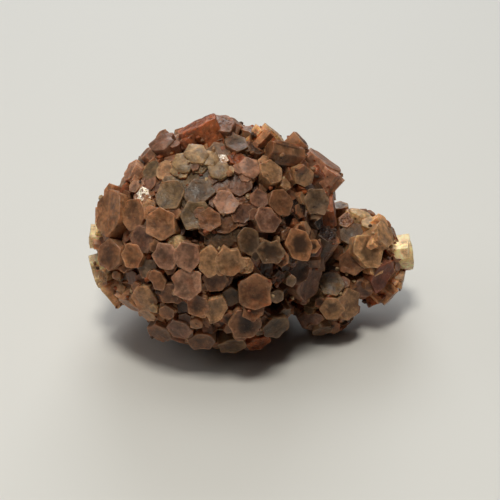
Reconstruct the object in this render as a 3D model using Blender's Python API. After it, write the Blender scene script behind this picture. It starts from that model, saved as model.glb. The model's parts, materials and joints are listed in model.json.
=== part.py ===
"""An aragonite sputnik cluster, 66 mm long: blunt six-sided crystals that radiate from three centres
and have grown into one another, so that the whole specimen is one solid.

Run it in Blender 4.5. It leaves one object, aragonite_cluster, standing on Z = 0 with its bounding box
centred on the Z axis. Lengths are in millimetres until the solid is finished, and in metres after that.

Each crystal on the front is laid out as an eye sees it: right and up are measured from the middle of
the view, on a plane square to the line of sight, and the crystal is then set where that sight line
meets the ball it grew from.
"""

import math
import random
from collections import namedtuple

import bmesh
import bpy
from mathutils import Matrix, Vector

MM = 0.001

# The eye looks along +Y and down, at a point near the middle of the cluster.
EYE_ELEVATION = math.radians(30.0)
EYE_DISTANCE = 300.0
RIGHT = Vector((1.0, 0.0, 0.0))
UP = Vector((0.0, math.sin(EYE_ELEVATION), math.cos(EYE_ELEVATION)))
TOWARDS = Vector((0.0, -math.cos(EYE_ELEVATION), math.sin(EYE_ELEVATION)))

# The balls that the crystals radiate from: centre and radii are right, up and towards the eye, core is
# the share of the radii that is solid, and spacing is how far apart the crystals of its far side stand.
Ball = namedtuple("Ball", "centre radii core spacing")
MAIN = Ball(Vector((-7.0, 3.6, 0.0)), Vector((25.6, 24.2, 24.0)), 0.84, 7.0)
LOBE = Ball(Vector((23.0, -0.8, -8.0)), Vector((9.6, 10.6, 9.6)), 0.76, 5.4)
SPUR = Ball(Vector((15.4, -10.0, -6.0)), Vector((7.4, 7.8, 8.4)), 0.76, 5.2)
BALLS = (MAIN, LOBE, SPUR)

# What the eye sees of the whole cluster: right and up of its outline, clockwise from the peak.
OUTLINE = (
    (-5.6, 27.6), (-1.2, 24.8), (1.6, 24.6), (7.0, 21.6), (11.2, 20.8), (16.0, 18.6), (18.5, 15.6),
    (17.2, 13.2), (17.5, 10.2), (20.2, 8.6), (23.4, 8.0), (25.6, 6.3), (28.2, 4.8), (28.8, 3.4),
    (31.8, 3.4), (32.6, -4.0), (30.9, -4.2), (30.0, -7.6), (26.6, -10.8), (23.8, -10.2), (21.8, -10.4),
    (21.8, -13.8), (16.2, -15.8), (15.0, -17.6), (9.8, -16.2), (8.6, -13.6), (7.8, -15.0), (5.6, -17.8),
    (-2.0, -20.4), (-10.5, -20.2), (-14.0, -18.4), (-17.0, -18.6), (-20.4, -15.4), (-22.6, -12.4),
    (-26.2, -11.2), (-30.5, -6.8), (-32.2, -1.6), (-32.4, 2.6), (-30.6, 9.6), (-28.6, 11.8),
    (-26.0, 13.0), (-24.0, 17.6), (-21.0, 18.8), (-19.8, 21.6), (-17.0, 22.8), (-15.2, 22.6),
    (-12.4, 25.2), (-7.0, 27.2),
)

# The floor lies this far under the main ball's centre, and only the feet reach it.
FLOOR_DROP = 21.8
CLEAR_OF_FLOOR = 0.5

# Crystal shape.
SIDES = 6
CORNER_SPREAD = 0.09
CORNER_TWIST = math.radians(5.0)
FOOT_TAPER = 0.84
LENGTH_PER_WIDTH = 1.5
LENGTH_LEAST = 4.5
LENGTH_MOST = 15.0

# Crystals that no table lists cover the rest of each ball. The first of them stand on a spiral that
# spaces them evenly, and smaller ones are thrown at random and kept where a gap is left.
GOLDEN_ANGLE = math.pi * (3.0 - math.sqrt(5.0))
HIDDEN_WIDTH = (0.92, 1.24)
HIDDEN_STAND = (-1.5, 0.7)
HIDDEN_LEAN = 0.13
HIDDEN_KEEP_OFF = 0.36
HIDDEN_SEED = 11
FRONT_LIMIT = 0.42
RIM_SINK = 2.0
CROWN = 2.2
FILLER_WIDTH = (3.4, 5.2)
FILLER_STAND = (-3.0, -1.2)
FILLER_KEEP_OFF = 0.43
FILLER_THROWS = 1500
SLIDE_STEP = 0.5
SLIDE_MOST = 7.0

SHAPE_SEED = 100

Crystal = namedtuple("Crystal", "right up width stand turn tall lean bearing long")


def crystal(right, up, width, stand=0.0, turn=0.0, tall=1.0, lean=None, bearing=None, long=None):
    """One crystal of the front. width is across its end face and stand is how far that face stands out
    of the ball, in millimetres. turn spins it and tall stretches it upwards. lean is the angle between
    its axis and the sight line, and bearing the axis's heading in view, in degrees from the right.
    Without them it points straight out of the ball, and without long its length follows its width."""
    return Crystal(right, up, width, stand, turn, tall, lean, bearing, long)


MAIN_CRYSTALS = (
    # The shoulder at the upper left.
    crystal(-17.2, 20.8, 6.0, stand=-1.6, turn=10),
    crystal(-23.5, 15.6, 5.0, stand=-1.6, lean=66, bearing=150),
    crystal(-20.3, 18.9, 3.2, stand=-1.4, lean=70, bearing=140),
    crystal(-19.8, 16.0, 4.4, stand=-1.2, turn=25),
    crystal(-20.6, 13.2, 4.0, stand=-1.2, turn=5),
    crystal(-23.2, 12.8, 2.8, stand=-0.6),
    crystal(-21.6, 10.6, 4.4, stand=-0.6, turn=15),
    crystal(-28.5, 7.6, 8.0, stand=0.4, tall=1.2, lean=50),
    crystal(-23.4, 7.0, 6.2, stand=-0.4, turn=30, tall=1.15),
    # The pale olive crystals below it.
    crystal(-16.1, 11.2, 6.1, stand=0.6, turn=30),
    crystal(-17.0, 15.8, 4.2, stand=-1.0),
    crystal(-12.8, 14.6, 5.4, stand=-0.4, turn=12),
    crystal(-10.2, 11.8, 6.4, stand=0.2, turn=20, tall=0.8),
    crystal(-11.0, 6.9, 6.1, stand=0.3, turn=30),
    crystal(-8.2, 6.0, 4.6, stand=0.7, turn=5),
    # The cream group.
    crystal(-13.6, 17.9, 3.8, stand=0.9, turn=30, tall=1.05),
    crystal(-10.7, 19.6, 3.8, stand=1.7, turn=30, tall=1.2),
    crystal(-7.9, 18.6, 3.0, stand=1.1, turn=30, tall=1.15),
    crystal(-5.9, 16.5, 4.1, stand=0.8, turn=15, tall=0.9),
    # The top edge, whose crystals show their sides.
    crystal(-10.5, 24.9, 9.0, lean=76, bearing=116, turn=0),
    crystal(-9.0, 22.4, 5.2, stand=-1.6, turn=10),
    crystal(-5.8, 25.7, 5.4, stand=0.8, turn=30, lean=50, bearing=92, tall=1.2),
    crystal(-2.4, 25.5, 4.0, lean=80, bearing=57, turn=30),
    crystal(0.6, 24.0, 4.2, lean=66, bearing=80),
    crystal(5.0, 23.6, 5.6, stand=1.0, lean=80, bearing=46, turn=30),
    crystal(9.8, 21.6, 4.4, stand=0.6, lean=76, bearing=44, turn=30),
    crystal(3.8, 20.0, 3.8, stand=1.4, lean=62, bearing=172, long=7.0),
    crystal(15.0, 18.2, 9.0, stand=0.6, lean=77, bearing=54, turn=0),
    # The upper middle.
    crystal(-6.4, 19.9, 5.0, stand=-1.2, turn=20),
    crystal(-2.6, 21.6, 4.8, stand=-0.4, turn=10),
    crystal(-2.6, 18.4, 3.4, stand=-0.8, turn=25),
    crystal(0.2, 16.8, 4.8, stand=0.7, turn=20),
    crystal(4.3, 15.6, 5.2, stand=1.0, turn=0, tall=1.1),
    crystal(9.4, 16.3, 4.4, stand=-0.2, turn=15),
    crystal(11.0, 14.6, 4.2, stand=0.4, lean=42, bearing=330, turn=50, tall=1.3),
    crystal(7.2, 13.3, 2.6, stand=0.4),
    crystal(1.4, 20.6, 4.0, stand=-1.0, turn=5),
    crystal(-7.0, 14.0, 5.6, stand=-0.4, turn=25),
    crystal(-2.2, 13.4, 5.0, stand=-0.4, turn=5),
    # The middle.
    crystal(-4.8, 9.6, 4.8, stand=0.6, turn=30),
    crystal(-2.0, 9.4, 4.2, stand=-0.8),
    crystal(-1.7, 7.4, 4.8, stand=0.0, turn=20, tall=0.8),
    crystal(1.8, 10.2, 4.0, stand=0.3, turn=10),
    crystal(3.4, 6.3, 5.0, stand=0.9, turn=30, tall=1.1),
    crystal(6.4, 9.4, 5.0, stand=0.3, turn=45, tall=1.1),
    crystal(13.2, 9.8, 5.8, stand=-0.4, turn=30, lean=26),
    crystal(9.6, 8.4, 4.4, stand=-1.8),
    crystal(16.8, 11.8, 4.0, stand=-0.3, lean=80, bearing=10),
    crystal(16.6, 15.0, 4.4, stand=-0.8, lean=60, bearing=30),
    crystal(10.0, 1.1, 5.4, stand=0.7, turn=30, lean=14, tall=1.25),
    crystal(4.1, -0.3, 5.5, stand=0.6, turn=30, lean=8),
    crystal(-0.3, 1.7, 4.6, stand=-0.4, turn=10, tall=1.2),
    crystal(-4.8, 5.2, 5.2, stand=-0.3, turn=15, tall=0.8),
    crystal(-6.2, 2.6, 6.0, stand=-0.9, turn=0, tall=0.8),
    crystal(15.6, 3.4, 4.8, stand=-0.8, lean=52, bearing=60, long=6.0),
    crystal(13.8, 6.0, 4.0, stand=-1.8),
    # The left side.
    crystal(-18.0, 5.4, 6.6, stand=0.9, turn=5, lean=16),
    crystal(-17.0, -1.2, 5.2, stand=1.0, turn=30, tall=1.2, lean=14),
    crystal(-12.6, -1.4, 5.2, stand=0.8, turn=15, tall=1.15),
    crystal(-15.2, 1.2, 3.2, stand=0.0),
    crystal(-21.6, 2.2, 5.4, stand=0.5, turn=20, lean=26),
    crystal(-23.6, -1.0, 5.0, stand=1.1, turn=30, lean=24),
    crystal(-28.2, -0.9, 6.2, stand=0.8, turn=0, lean=34, bearing=180),
    crystal(-32.2, 2.8, 5.4, lean=84, bearing=178),
    crystal(-31.3, -4.3, 6.6, lean=88, bearing=197, turn=30),
    crystal(-28.6, -9.3, 6.4, lean=86, bearing=218, turn=30),
    crystal(-24.2, -11.0, 5.6, stand=-0.4, lean=74, bearing=240),
    crystal(-26.8, -5.2, 2.0, stand=-1.0, lean=30),
    crystal(-26.0, -7.7, 2.0, stand=-0.8, lean=30),
    crystal(-29.6, -5.2, 2.8, stand=-0.4, lean=50),
    crystal(-24.6, -6.0, 4.8, stand=-2.4),
    crystal(-20.4, -3.8, 4.6, stand=-0.9, turn=30),
    crystal(-18.6, -6.2, 3.3, stand=1.3, turn=30, tall=1.25, lean=16),
    # The lower middle.
    crystal(-12.6, -6.9, 6.4, stand=1.0, turn=8, lean=12),
    crystal(-8.2, -2.4, 4.6, stand=0.6, turn=0, tall=1.45),
    crystal(-4.0, -2.3, 5.6, stand=1.0, turn=15, tall=1.1),
    crystal(-1.0, -3.3, 4.0, stand=0.0, turn=30),
    crystal(-6.8, -6.0, 5.0, stand=-0.6, turn=25),
    crystal(1.0, -8.7, 7.3, stand=1.2, turn=0, lean=10),
    crystal(-1.0, -14.7, 6.6, stand=1.2, turn=30, lean=22),
    crystal(-3.8, -9.4, 4.2, stand=-1.6),
    crystal(5.4, -9.2, 3.0, stand=-1.6, lean=24),
    crystal(9.4, -4.4, 5.8, stand=-2.2, lean=24),
    crystal(8.4, -6.2, 2.4, stand=-0.6, lean=24),
    crystal(2.8, -4.2, 4.2, stand=-2.2),
    crystal(5.8, -5.6, 3.0, stand=-1.6),
    crystal(5.2, -15.6, 6.2, stand=0.0, turn=10, lean=44),
    # The lower left.
    crystal(-16.2, -8.6, 4.4, stand=0.5, turn=30, lean=22),
    crystal(-21.2, -9.9, 6.0, stand=0.4, turn=30, lean=34),
    crystal(-19.4, -11.9, 2.0, stand=1.0, lean=40),
    crystal(-16.6, -12.6, 3.2, stand=0.8, lean=36),
    crystal(-20.8, -13.0, 4.4, stand=-0.4, lean=60),
    crystal(-13.8, -11.4, 4.2, stand=-1.2),
    crystal(-10.4, -11.2, 4.6, stand=0.7, turn=10, lean=26),
    crystal(-6.9, -12.0, 4.5, stand=0.7, turn=-25, tall=1.4, lean=22),
    crystal(-14.1, -16.0, 5.0, stand=0.5, turn=30, lean=42),
    crystal(-18.2, -16.7, 5.8, stand=0.0, turn=15, lean=58),
    crystal(-10.8, -14.9, 3.0, stand=0.4, lean=40),
    crystal(-9.6, -18.5, 6.0, stand=0.4, turn=30, lean=48, tall=0.85),
    crystal(-3.6, -19.3, 6.2, stand=0.0, turn=10, lean=58),
    crystal(1.8, -18.8, 5.4, stand=0.0, turn=20, lean=62),
)

LOBE_CRYSTALS = (
    crystal(18.2, 9.0, 3.8, lean=64, bearing=100),
    crystal(22.2, 7.8, 5.0, lean=70, bearing=74),
    crystal(19.2, 6.2, 3.6, stand=0.2, lean=40, bearing=120),
    crystal(20.4, 3.4, 5.2, stand=-0.6, turn=10, lean=26, bearing=120),
    crystal(24.0, 5.4, 4.0, stand=0.2, lean=44, bearing=80),
    crystal(23.9, -0.3, 6.2, stand=1.2, turn=36, tall=1.25, lean=22, bearing=15),
    crystal(27.2, 3.2, 6.2, stand=1.2, turn=20, lean=58, bearing=28),
    crystal(32.3, -0.3, 7.7, lean=86, bearing=6, turn=30),
    crystal(26.6, -5.4, 4.9, stand=0.8, turn=-28, tall=1.4, lean=40, bearing=325),
    crystal(30.6, -6.2, 4.4, lean=84, bearing=346),
    crystal(28.0, -9.0, 5.0, lean=84, bearing=316),
    crystal(25.2, -10.8, 3.8, lean=84, bearing=292),
    crystal(22.6, -7.8, 5.0, stand=0.0, turn=30, lean=36, bearing=268),
    crystal(20.2, -2.4, 5.6, stand=0.4, turn=10, lean=14, bearing=200),
)

SPUR_CRYSTALS = (
    crystal(11.4, -14.4, 4.8, stand=0.4, turn=30, lean=38, bearing=235),
    crystal(14.4, -16.3, 4.6, stand=0.0, turn=10, lean=66, bearing=282),
    crystal(16.4, -11.8, 5.2, stand=1.4, turn=30, lean=12, bearing=270),
    crystal(19.8, -10.8, 6.0, stand=0.8, turn=0, tall=1.2, lean=38, bearing=350),
    crystal(12.2, -9.4, 5.4, stand=0.6, turn=15, lean=24, bearing=160),
    crystal(16.2, -6.6, 5.8, stand=0.8, turn=25, lean=30, bearing=90),
    crystal(19.2, -5.8, 5.0, stand=0.2, turn=5, lean=44, bearing=50),
    crystal(15.2, -2.8, 5.2, stand=0.4, turn=10, lean=60, bearing=100),
)

# The feet point straight down and end on the floor: X, Y from the main ball's centre, and width.
FEET = (
    (-9.0, -1.6, 7.2),
    (-5.5, 9.0, 7.4),
    (7.0, 9.0, 7.2),
    (4.6, -4.4, 7.2),
    (21.6, 0.2, 5.8),
)

# One crystal laid out in space: the middle of its end face, its own axes, and its sizes.
Placed = namedtuple("Placed", "centre across along axis width tall length seed")


def in_space(right, up, towards):
    """The point of space that lies this far right of, above and in front of the middle of the view."""
    return RIGHT * right + UP * up + TOWARDS * towards


def length_of(width):
    """How far a crystal of this width reaches down into the cluster."""
    return min(LENGTH_MOST, LENGTH_LEAST + LENGTH_PER_WIDTH * width)


def own_axes(axis, turn):
    """Directions across and along a crystal's end face, turned about its axis."""
    guide = RIGHT if abs(axis.dot(RIGHT)) < 0.9 else UP
    across = (guide - axis * guide.dot(axis)).normalized()
    spin = Matrix.Rotation(turn, 3, axis)
    across = spin @ across
    return across, axis.cross(across)


def sight_depth(ball, right, up, stand):
    """How far in front of the view's middle the sight line through right, up meets the ball, swollen by
    stand. Past the ball's outline it gives the depth of the ball's centre."""
    swell = 1.0 + stand / (sum(ball.radii) / 3.0)
    depth = ball.centre.z
    for _ in range(4):
        shrink = 1.0 - depth / EYE_DISTANCE
        x = (right * shrink - ball.centre.x) / (ball.radii.x * swell)
        y = (up * shrink - ball.centre.y) / (ball.radii.y * swell)
        depth = ball.centre.z + ball.radii.z * swell * math.sqrt(max(0.0, 1.0 - x * x - y * y))
    return depth


def place_seen(ball, item, seed):
    """A crystal of the tables, set in space."""
    depth = sight_depth(ball, item.right, item.up, item.stand)
    shrink = 1.0 - depth / EYE_DISTANCE
    seen = Vector((item.right * shrink, item.up * shrink, depth))
    out = Vector([(seen[i] - ball.centre[i]) / ball.radii[i] ** 2 for i in range(3)]).normalized()
    lean = math.acos(max(-1.0, min(1.0, out.z))) if item.lean is None else math.radians(item.lean)
    bearing = math.atan2(out.y, out.x) if item.bearing is None else math.radians(item.bearing)
    axis = in_space(math.sin(lean) * math.cos(bearing), math.sin(lean) * math.sin(bearing), math.cos(lean))
    across, along = own_axes(axis, math.radians(item.turn))
    long = item.long or length_of(item.width)
    return Placed(in_space(*seen), across, along, axis, item.width, item.tall, long, seed)


def place_feet(start):
    """The feet, whose end faces lie on the floor."""
    centre = in_space(*MAIN.centre)
    placed = []
    for index, (x, y, width) in enumerate(FEET):
        end = centre + Vector((x, y, -FLOOR_DROP))
        across, along = own_axes(Vector((0.0, 0.0, -1.0)), math.radians(17.0 * index))
        placed.append(Placed(end, across, along, Vector((0.0, 0.0, -1.0)), width, 1.0, 13.0, start + index))
    return placed


def lifted_clear(item):
    """The crystal slid back along its axis until its end face clears the floor."""
    floor = in_space(*MAIN.centre).z - FLOOR_DROP + CLEAR_OF_FLOOR
    steepness = max(0.0, 1.0 - item.axis.z ** 2) ** 0.5
    lowest = item.centre.z - 0.5 * item.width * max(1.0, item.tall) * steepness
    if lowest >= floor:
        return item
    if item.axis.z > -0.25:
        return item._replace(centre=item.centre + Vector((0.0, 0.0, floor - lowest)))
    return item._replace(centre=item.centre + item.axis * ((floor - lowest) / item.axis.z))


def inside_another(point, ball):
    """True where a point lies well inside one of the other balls."""
    for other in BALLS:
        if other is ball:
            continue
        away = point - other.centre
        if sum((away[i] / other.radii[i]) ** 2 for i in range(3)) < 0.8:
            return True
    return False


def inside_outline(point):
    """True where the eye sees a point of space within OUTLINE."""
    shrink = 1.0 - point.dot(TOWARDS) / EYE_DISTANCE
    right, up = point.dot(RIGHT) / shrink, point.dot(UP) / shrink
    inside = False
    for (x0, y0), (x1, y1) in zip(OUTLINE, OUTLINE[1:] + OUTLINE[:1]):
        if (y0 > up) != (y1 > up) and right < x0 + (up - y0) / (y1 - y0) * (x1 - x0):
            inside = not inside
    return inside


def drawn_inside(item):
    """The crystal slid back along its axis until the eye sees all of its end face within OUTLINE, or
    None where that takes too long a way."""
    ring = [item.across * math.cos(math.radians(60 * k)) + item.along * math.sin(math.radians(60 * k))
            for k in range(SIDES)]
    for step in range(int(SLIDE_MOST / SLIDE_STEP)):
        centre = item.centre - item.axis * (step * SLIDE_STEP)
        if all(inside_outline(centre + way * (0.5 * item.width)) for way in ring):
            return item._replace(centre=centre)
    return None


def spiral(ball):
    """Directions spaced evenly over a ball, with the width of the crystal that each one gets."""
    radius = sum(ball.radii) / 3.0
    count = round(4.0 * math.pi * radius * radius / (0.866 * ball.spacing ** 2))
    for index in range(count):
        z = 1.0 - (2.0 * index + 1.0) / count
        flat = math.sqrt(1.0 - z * z)
        heading = index * GOLDEN_ANGLE
        yield Vector((flat * math.cos(heading), flat * math.sin(heading), z)), ball.spacing


def thrown(ball, rng):
    """Directions at random over a ball."""
    for _ in range(FILLER_THROWS):
        out = Vector([rng.gauss(0.0, 1.0) for _ in range(3)]).normalized()
        yield out, 1.0


def cover(placed, ball, directions, rng, widths, stands, keep_off):
    """Sets crystals along the directions that lead away from the eye, kept off those already placed."""
    for out, scale in directions:
        width = scale * rng.uniform(*widths)
        stand = rng.uniform(*stands)
        sway = Vector([rng.gauss(0.0, HIDDEN_LEAN) for _ in range(3)])
        turn = rng.uniform(0.0, math.tau)
        stand += CROWN * max(0.0, out.y) ** 2 * (ball is MAIN) - RIM_SINK * max(0.0, out.z) / FRONT_LIMIT
        seen = Vector([ball.centre[i] + out[i] * (ball.radii[i] + stand) for i in range(3)])
        if out.z > FRONT_LIMIT or inside_another(seen, ball):
            continue
        axis = (in_space(*out) + sway).normalized()
        across, along = own_axes(axis, turn)
        item = drawn_inside(Placed(in_space(*seen), across, along, axis, width, 1.0, length_of(width),
                                   SHAPE_SEED + len(placed)))
        if item is None:
            continue
        item = lifted_clear(item)
        if all((item.centre - other.centre).length > keep_off * (width + other.width) for other in placed):
            placed.append(item)


def grow_hidden(placed):
    """Adds the crystals of the back, the underside and the far edges to those already placed."""
    rng = random.Random(HIDDEN_SEED)
    for ball in BALLS:
        cover(placed, ball, spiral(ball), rng, HIDDEN_WIDTH, HIDDEN_STAND, HIDDEN_KEEP_OFF)
    for ball in BALLS:
        cover(placed, ball, thrown(ball, rng), rng, FILLER_WIDTH, FILLER_STAND, FILLER_KEEP_OFF)


def all_crystals():
    """Every crystal of the cluster, in the order it is drawn."""
    placed = []
    for ball, table in ((MAIN, MAIN_CRYSTALS), (LOBE, LOBE_CRYSTALS), (SPUR, SPUR_CRYSTALS)):
        for item in table:
            placed.append(lifted_clear(place_seen(ball, item, SHAPE_SEED + len(placed))))
    placed += place_feet(SHAPE_SEED + len(placed))
    grow_hidden(placed)
    return placed


def corner_shape(item):
    """Each corner's distance from the axis, as a share of half the width, and its twist."""
    rng = random.Random(item.seed)
    return [(1.0 + rng.uniform(-CORNER_SPREAD, CORNER_SPREAD),
             rng.uniform(-CORNER_TWIST, CORNER_TWIST)) for _ in range(SIDES)]


def prism(item, collection):
    """One crystal as a closed six-sided prism, a little narrower at its foot."""
    shape = corner_shape(item)
    work = bmesh.new()
    bmesh.ops.create_cone(work, cap_ends=True, cap_tris=False, segments=SIDES,
                          radius1=FOOT_TAPER, radius2=1.0, depth=1.0)
    half = 0.5 * item.width
    for vert in work.verts:
        angle = math.atan2(vert.co.y, vert.co.x) % math.tau
        share, twist = shape[round(angle / math.tau * SIDES) % SIDES]
        reach = math.hypot(vert.co.x, vert.co.y) * share * half
        x = reach * math.cos(angle + twist)
        y = reach * math.sin(angle + twist) * item.tall
        depth = (vert.co.z - 0.5) * item.length
        vert.co = item.centre + item.across * x + item.along * y + item.axis * depth
    mesh = bpy.data.meshes.new("crystal")
    work.to_mesh(mesh)
    work.free()
    made = bpy.data.objects.new("crystal", mesh)
    collection.objects.link(made)
    return made


def core_of(ball, collection, name):
    """The grown-together middle of one ball."""
    work = bmesh.new()
    bmesh.ops.create_icosphere(work, subdivisions=2, radius=1.0)
    for vert in work.verts:
        seen = [ball.centre[i] + vert.co[i] * ball.radii[i] * ball.core for i in range(3)]
        vert.co = in_space(*seen)
    mesh = bpy.data.meshes.new(name)
    work.to_mesh(mesh)
    work.free()
    made = bpy.data.objects.new(name, mesh)
    collection.objects.link(made)
    return made


def fuse(body, parts):
    """Joins everything in parts to body and gives the mesh of the whole."""
    union = body.modifiers.new("grown_together", "BOOLEAN")
    union.operation = "UNION"
    union.operand_type = "COLLECTION"
    union.collection = parts
    union.solver = "EXACT"
    bpy.context.view_layer.update()
    graph = bpy.context.evaluated_depsgraph_get()
    mesh = bpy.data.meshes.new_from_object(body.evaluated_get(graph))
    body.modifiers.remove(union)
    return mesh


def keep_outer_skin(work):
    """Deletes the skins of pockets sealed between crystals, which leaves the one outer skin."""
    work.faces.ensure_lookup_table()
    unseen = set(work.faces)
    skins = []
    while unseen:
        first = unseen.pop()
        skin, edge_of_it = [first], [first]
        while edge_of_it:
            face = edge_of_it.pop()
            for edge in face.edges:
                for other in edge.link_faces:
                    if other in unseen:
                        unseen.remove(other)
                        skin.append(other)
                        edge_of_it.append(other)
        skins.append(skin)
    skins.sort(key=len, reverse=True)
    for skin in skins[1:]:
        bmesh.ops.delete(work, geom=skin, context="FACES")


def settle(work):
    """Stands the solid on Z = 0, centres its box on the Z axis and gives it its size in metres."""
    low = Vector([min(v.co[i] for v in work.verts) for i in range(3)])
    high = Vector([max(v.co[i] for v in work.verts) for i in range(3)])
    shift = Vector((-(low.x + high.x) / 2.0, -(low.y + high.y) / 2.0, -low.z))
    bmesh.ops.translate(work, verts=work.verts, vec=shift)
    bmesh.ops.scale(work, verts=work.verts, vec=(MM, MM, MM))


def aragonite():
    """Translucent brown crystal, waxy rather than glossy."""
    material = bpy.data.materials.new("aragonite")
    material.use_nodes = True
    shader = material.node_tree.nodes["Principled BSDF"]
    shader.inputs["Base Color"].default_value = (0.165, 0.088, 0.055, 1.0)
    shader.inputs["Roughness"].default_value = 0.42
    shader.inputs["Metallic"].default_value = 0.0
    material.diffuse_color = (0.165, 0.088, 0.055, 1.0)
    return material


def new_collection(name, hidden=False):
    """A collection of the scene."""
    made = bpy.data.collections.new(name)
    made.hide_render = hidden
    bpy.context.scene.collection.children.link(made)
    return made


def main():
    for old in list(bpy.data.objects):
        bpy.data.objects.remove(old)
    specimen = new_collection("aragonite_sputnik_cluster")
    parts = new_collection("fused_parts", hidden=True)
    for item in all_crystals():
        prism(item, parts)
    core_of(LOBE, parts, "lobe_core")
    core_of(SPUR, parts, "spur_core")
    body = core_of(MAIN, specimen, "aragonite_cluster")

    mesh = fuse(body, parts)
    work = bmesh.new()
    work.from_mesh(mesh)
    keep_outer_skin(work)
    settle(work)
    work.to_mesh(mesh)
    work.free()
    mesh.name = "aragonite_cluster"
    mesh.materials.clear()
    mesh.materials.append(aragonite())
    for polygon in mesh.polygons:
        polygon.use_smooth = False
    body.data = mesh
    for part in list(parts.objects):
        bpy.data.objects.remove(part)


if __name__ == "__main__":
    main()
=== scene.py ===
"""Looks for the aragonite sputnik cluster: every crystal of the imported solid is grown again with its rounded
and notched outline, stepped end face and banded sides, joined into one skin with the crust between them, and
dressed in translucent, rust-stained aragonite.

Run it in Blender 4.5. Lengths are in millimetres until the skin is finished, and in metres after that.
"""

import logging
import math
import random
from dataclasses import dataclass, field, replace
from enum import Enum
from typing import Iterator, Optional

import bmesh
import bpy
from mathutils import Matrix, Vector, noise
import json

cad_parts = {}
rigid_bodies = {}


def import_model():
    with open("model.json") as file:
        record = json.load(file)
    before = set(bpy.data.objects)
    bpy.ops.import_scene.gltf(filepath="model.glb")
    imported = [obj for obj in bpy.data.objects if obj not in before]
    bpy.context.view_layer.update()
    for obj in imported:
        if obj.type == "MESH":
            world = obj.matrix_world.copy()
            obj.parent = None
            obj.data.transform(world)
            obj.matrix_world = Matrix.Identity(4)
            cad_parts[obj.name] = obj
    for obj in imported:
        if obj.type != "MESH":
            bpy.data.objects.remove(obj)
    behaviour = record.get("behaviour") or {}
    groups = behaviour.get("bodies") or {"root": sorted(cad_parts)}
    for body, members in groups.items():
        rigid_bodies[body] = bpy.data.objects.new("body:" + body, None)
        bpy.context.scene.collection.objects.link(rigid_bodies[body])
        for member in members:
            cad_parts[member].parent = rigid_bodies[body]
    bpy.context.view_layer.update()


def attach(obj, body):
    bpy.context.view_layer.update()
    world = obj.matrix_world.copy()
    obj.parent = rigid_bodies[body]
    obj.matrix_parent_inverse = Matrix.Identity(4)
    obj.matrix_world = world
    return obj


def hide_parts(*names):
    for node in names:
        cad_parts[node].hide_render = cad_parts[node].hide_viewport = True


MM = 0.001
NODE = "aragonite_cluster"
log = logging.getLogger("aragonite")


class Tint(Enum):
    """Body colours of the crystals, as linear reflectances, with a near-black that is painted shade and a
    near-white that is painted glints.
    """

    MAUVE = (0.190, 0.088, 0.052)
    ROSE = (0.290, 0.145, 0.088)
    PINK = (0.360, 0.190, 0.118)
    ORANGE = (0.290, 0.130, 0.056)
    BROWN = (0.190, 0.082, 0.036)
    OLIVE = (0.165, 0.098, 0.045)
    SMOKE = (0.115, 0.063, 0.030)
    GREY = (0.185, 0.112, 0.064)
    TAN = (0.320, 0.170, 0.080)
    HONEY = (0.600, 0.410, 0.220)
    CREAM = (0.300, 0.188, 0.092)
    RUST = (0.250, 0.060, 0.014)
    WINE = (0.130, 0.034, 0.016)
    UMBER = (0.070, 0.030, 0.014)
    # Near-black: painted shade, for crystals that sit in the shaded gaps.
    PAINTED_SHADE = (0.024, 0.009, 0.004)
    # Near-white: painted glints on the facets of a druse.
    PAINTED_GLINT = (0.860, 0.740, 0.600)


class End(Enum):
    """How a crystal's end face has grown."""

    FLAT = "flat"
    DISHED = "dished"
    STEPPED = "stepped"
    DOMED = "domed"
    DRUSY = "drusy"
    ROUGH = "rough"


class Slot(Enum):
    """Material slots of the skin."""

    BROWN_CRYSTAL = 0
    HONEY_CRYSTAL = 1
    CRUST = 2
    DRUSE = 3


@dataclass(frozen=True)
class Sight:
    """The line of sight that the front of the cluster is laid out for."""

    elevation: float = math.radians(30.0)
    distance: float = 300.0
    right: Vector = Vector((1.0, 0.0, 0.0))

    @property
    def up(self) -> Vector:
        """Upwards in view."""
        return Vector((0.0, math.sin(self.elevation), math.cos(self.elevation)))

    @property
    def towards(self) -> Vector:
        """From the middle of the view to the eye."""
        return Vector((0.0, -math.cos(self.elevation), math.sin(self.elevation)))

    def in_space(self, right: float, up: float, towards: float) -> Vector:
        """The point of space that lies this far right of, above and in front of the middle of the view."""
        return self.right * right + self.up * up + self.towards * towards


SIGHT = Sight()
UP = SIGHT.up
TOWARDS = SIGHT.towards


@dataclass(frozen=True)
class Ball:
    """A centre that crystals radiate from. Lengths are right, up and towards the eye."""

    centre: Vector
    radii: Vector
    core: float
    spacing: float

    def depth_at(self, right: float, up: float, stand: float) -> float:
        """How far in front of the view's middle a sight line meets the ball.

        Args:
            right: Where the sight line crosses the view, to the right.
            up: The same, upwards.
            stand: How far the ball is swollen first.

        Returns:
            The depth, or that of the ball's centre where the sight line misses the ball.
        """
        swell = 1.0 + stand / (sum(self.radii) / 3.0)
        depth = self.centre.z
        for _ in range(4):
            shrink = 1.0 - depth / SIGHT.distance
            x = (right * shrink - self.centre.x) / (self.radii.x * swell)
            y = (up * shrink - self.centre.y) / (self.radii.y * swell)
            depth = self.centre.z + self.radii.z * swell * math.sqrt(max(0.0, 1.0 - x * x - y * y))
        return depth


MAIN = Ball(Vector((-7.0, 3.6, 0.0)), Vector((25.6, 24.2, 24.0)), 0.84, 7.0)
LOBE = Ball(Vector((23.0, -0.8, -8.0)), Vector((9.6, 10.6, 9.6)), 0.76, 5.4)
SPUR = Ball(Vector((15.4, -10.0, -6.0)), Vector((7.4, 7.8, 8.4)), 0.76, 5.2)
BALLS = (MAIN, LOBE, SPUR)


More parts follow.
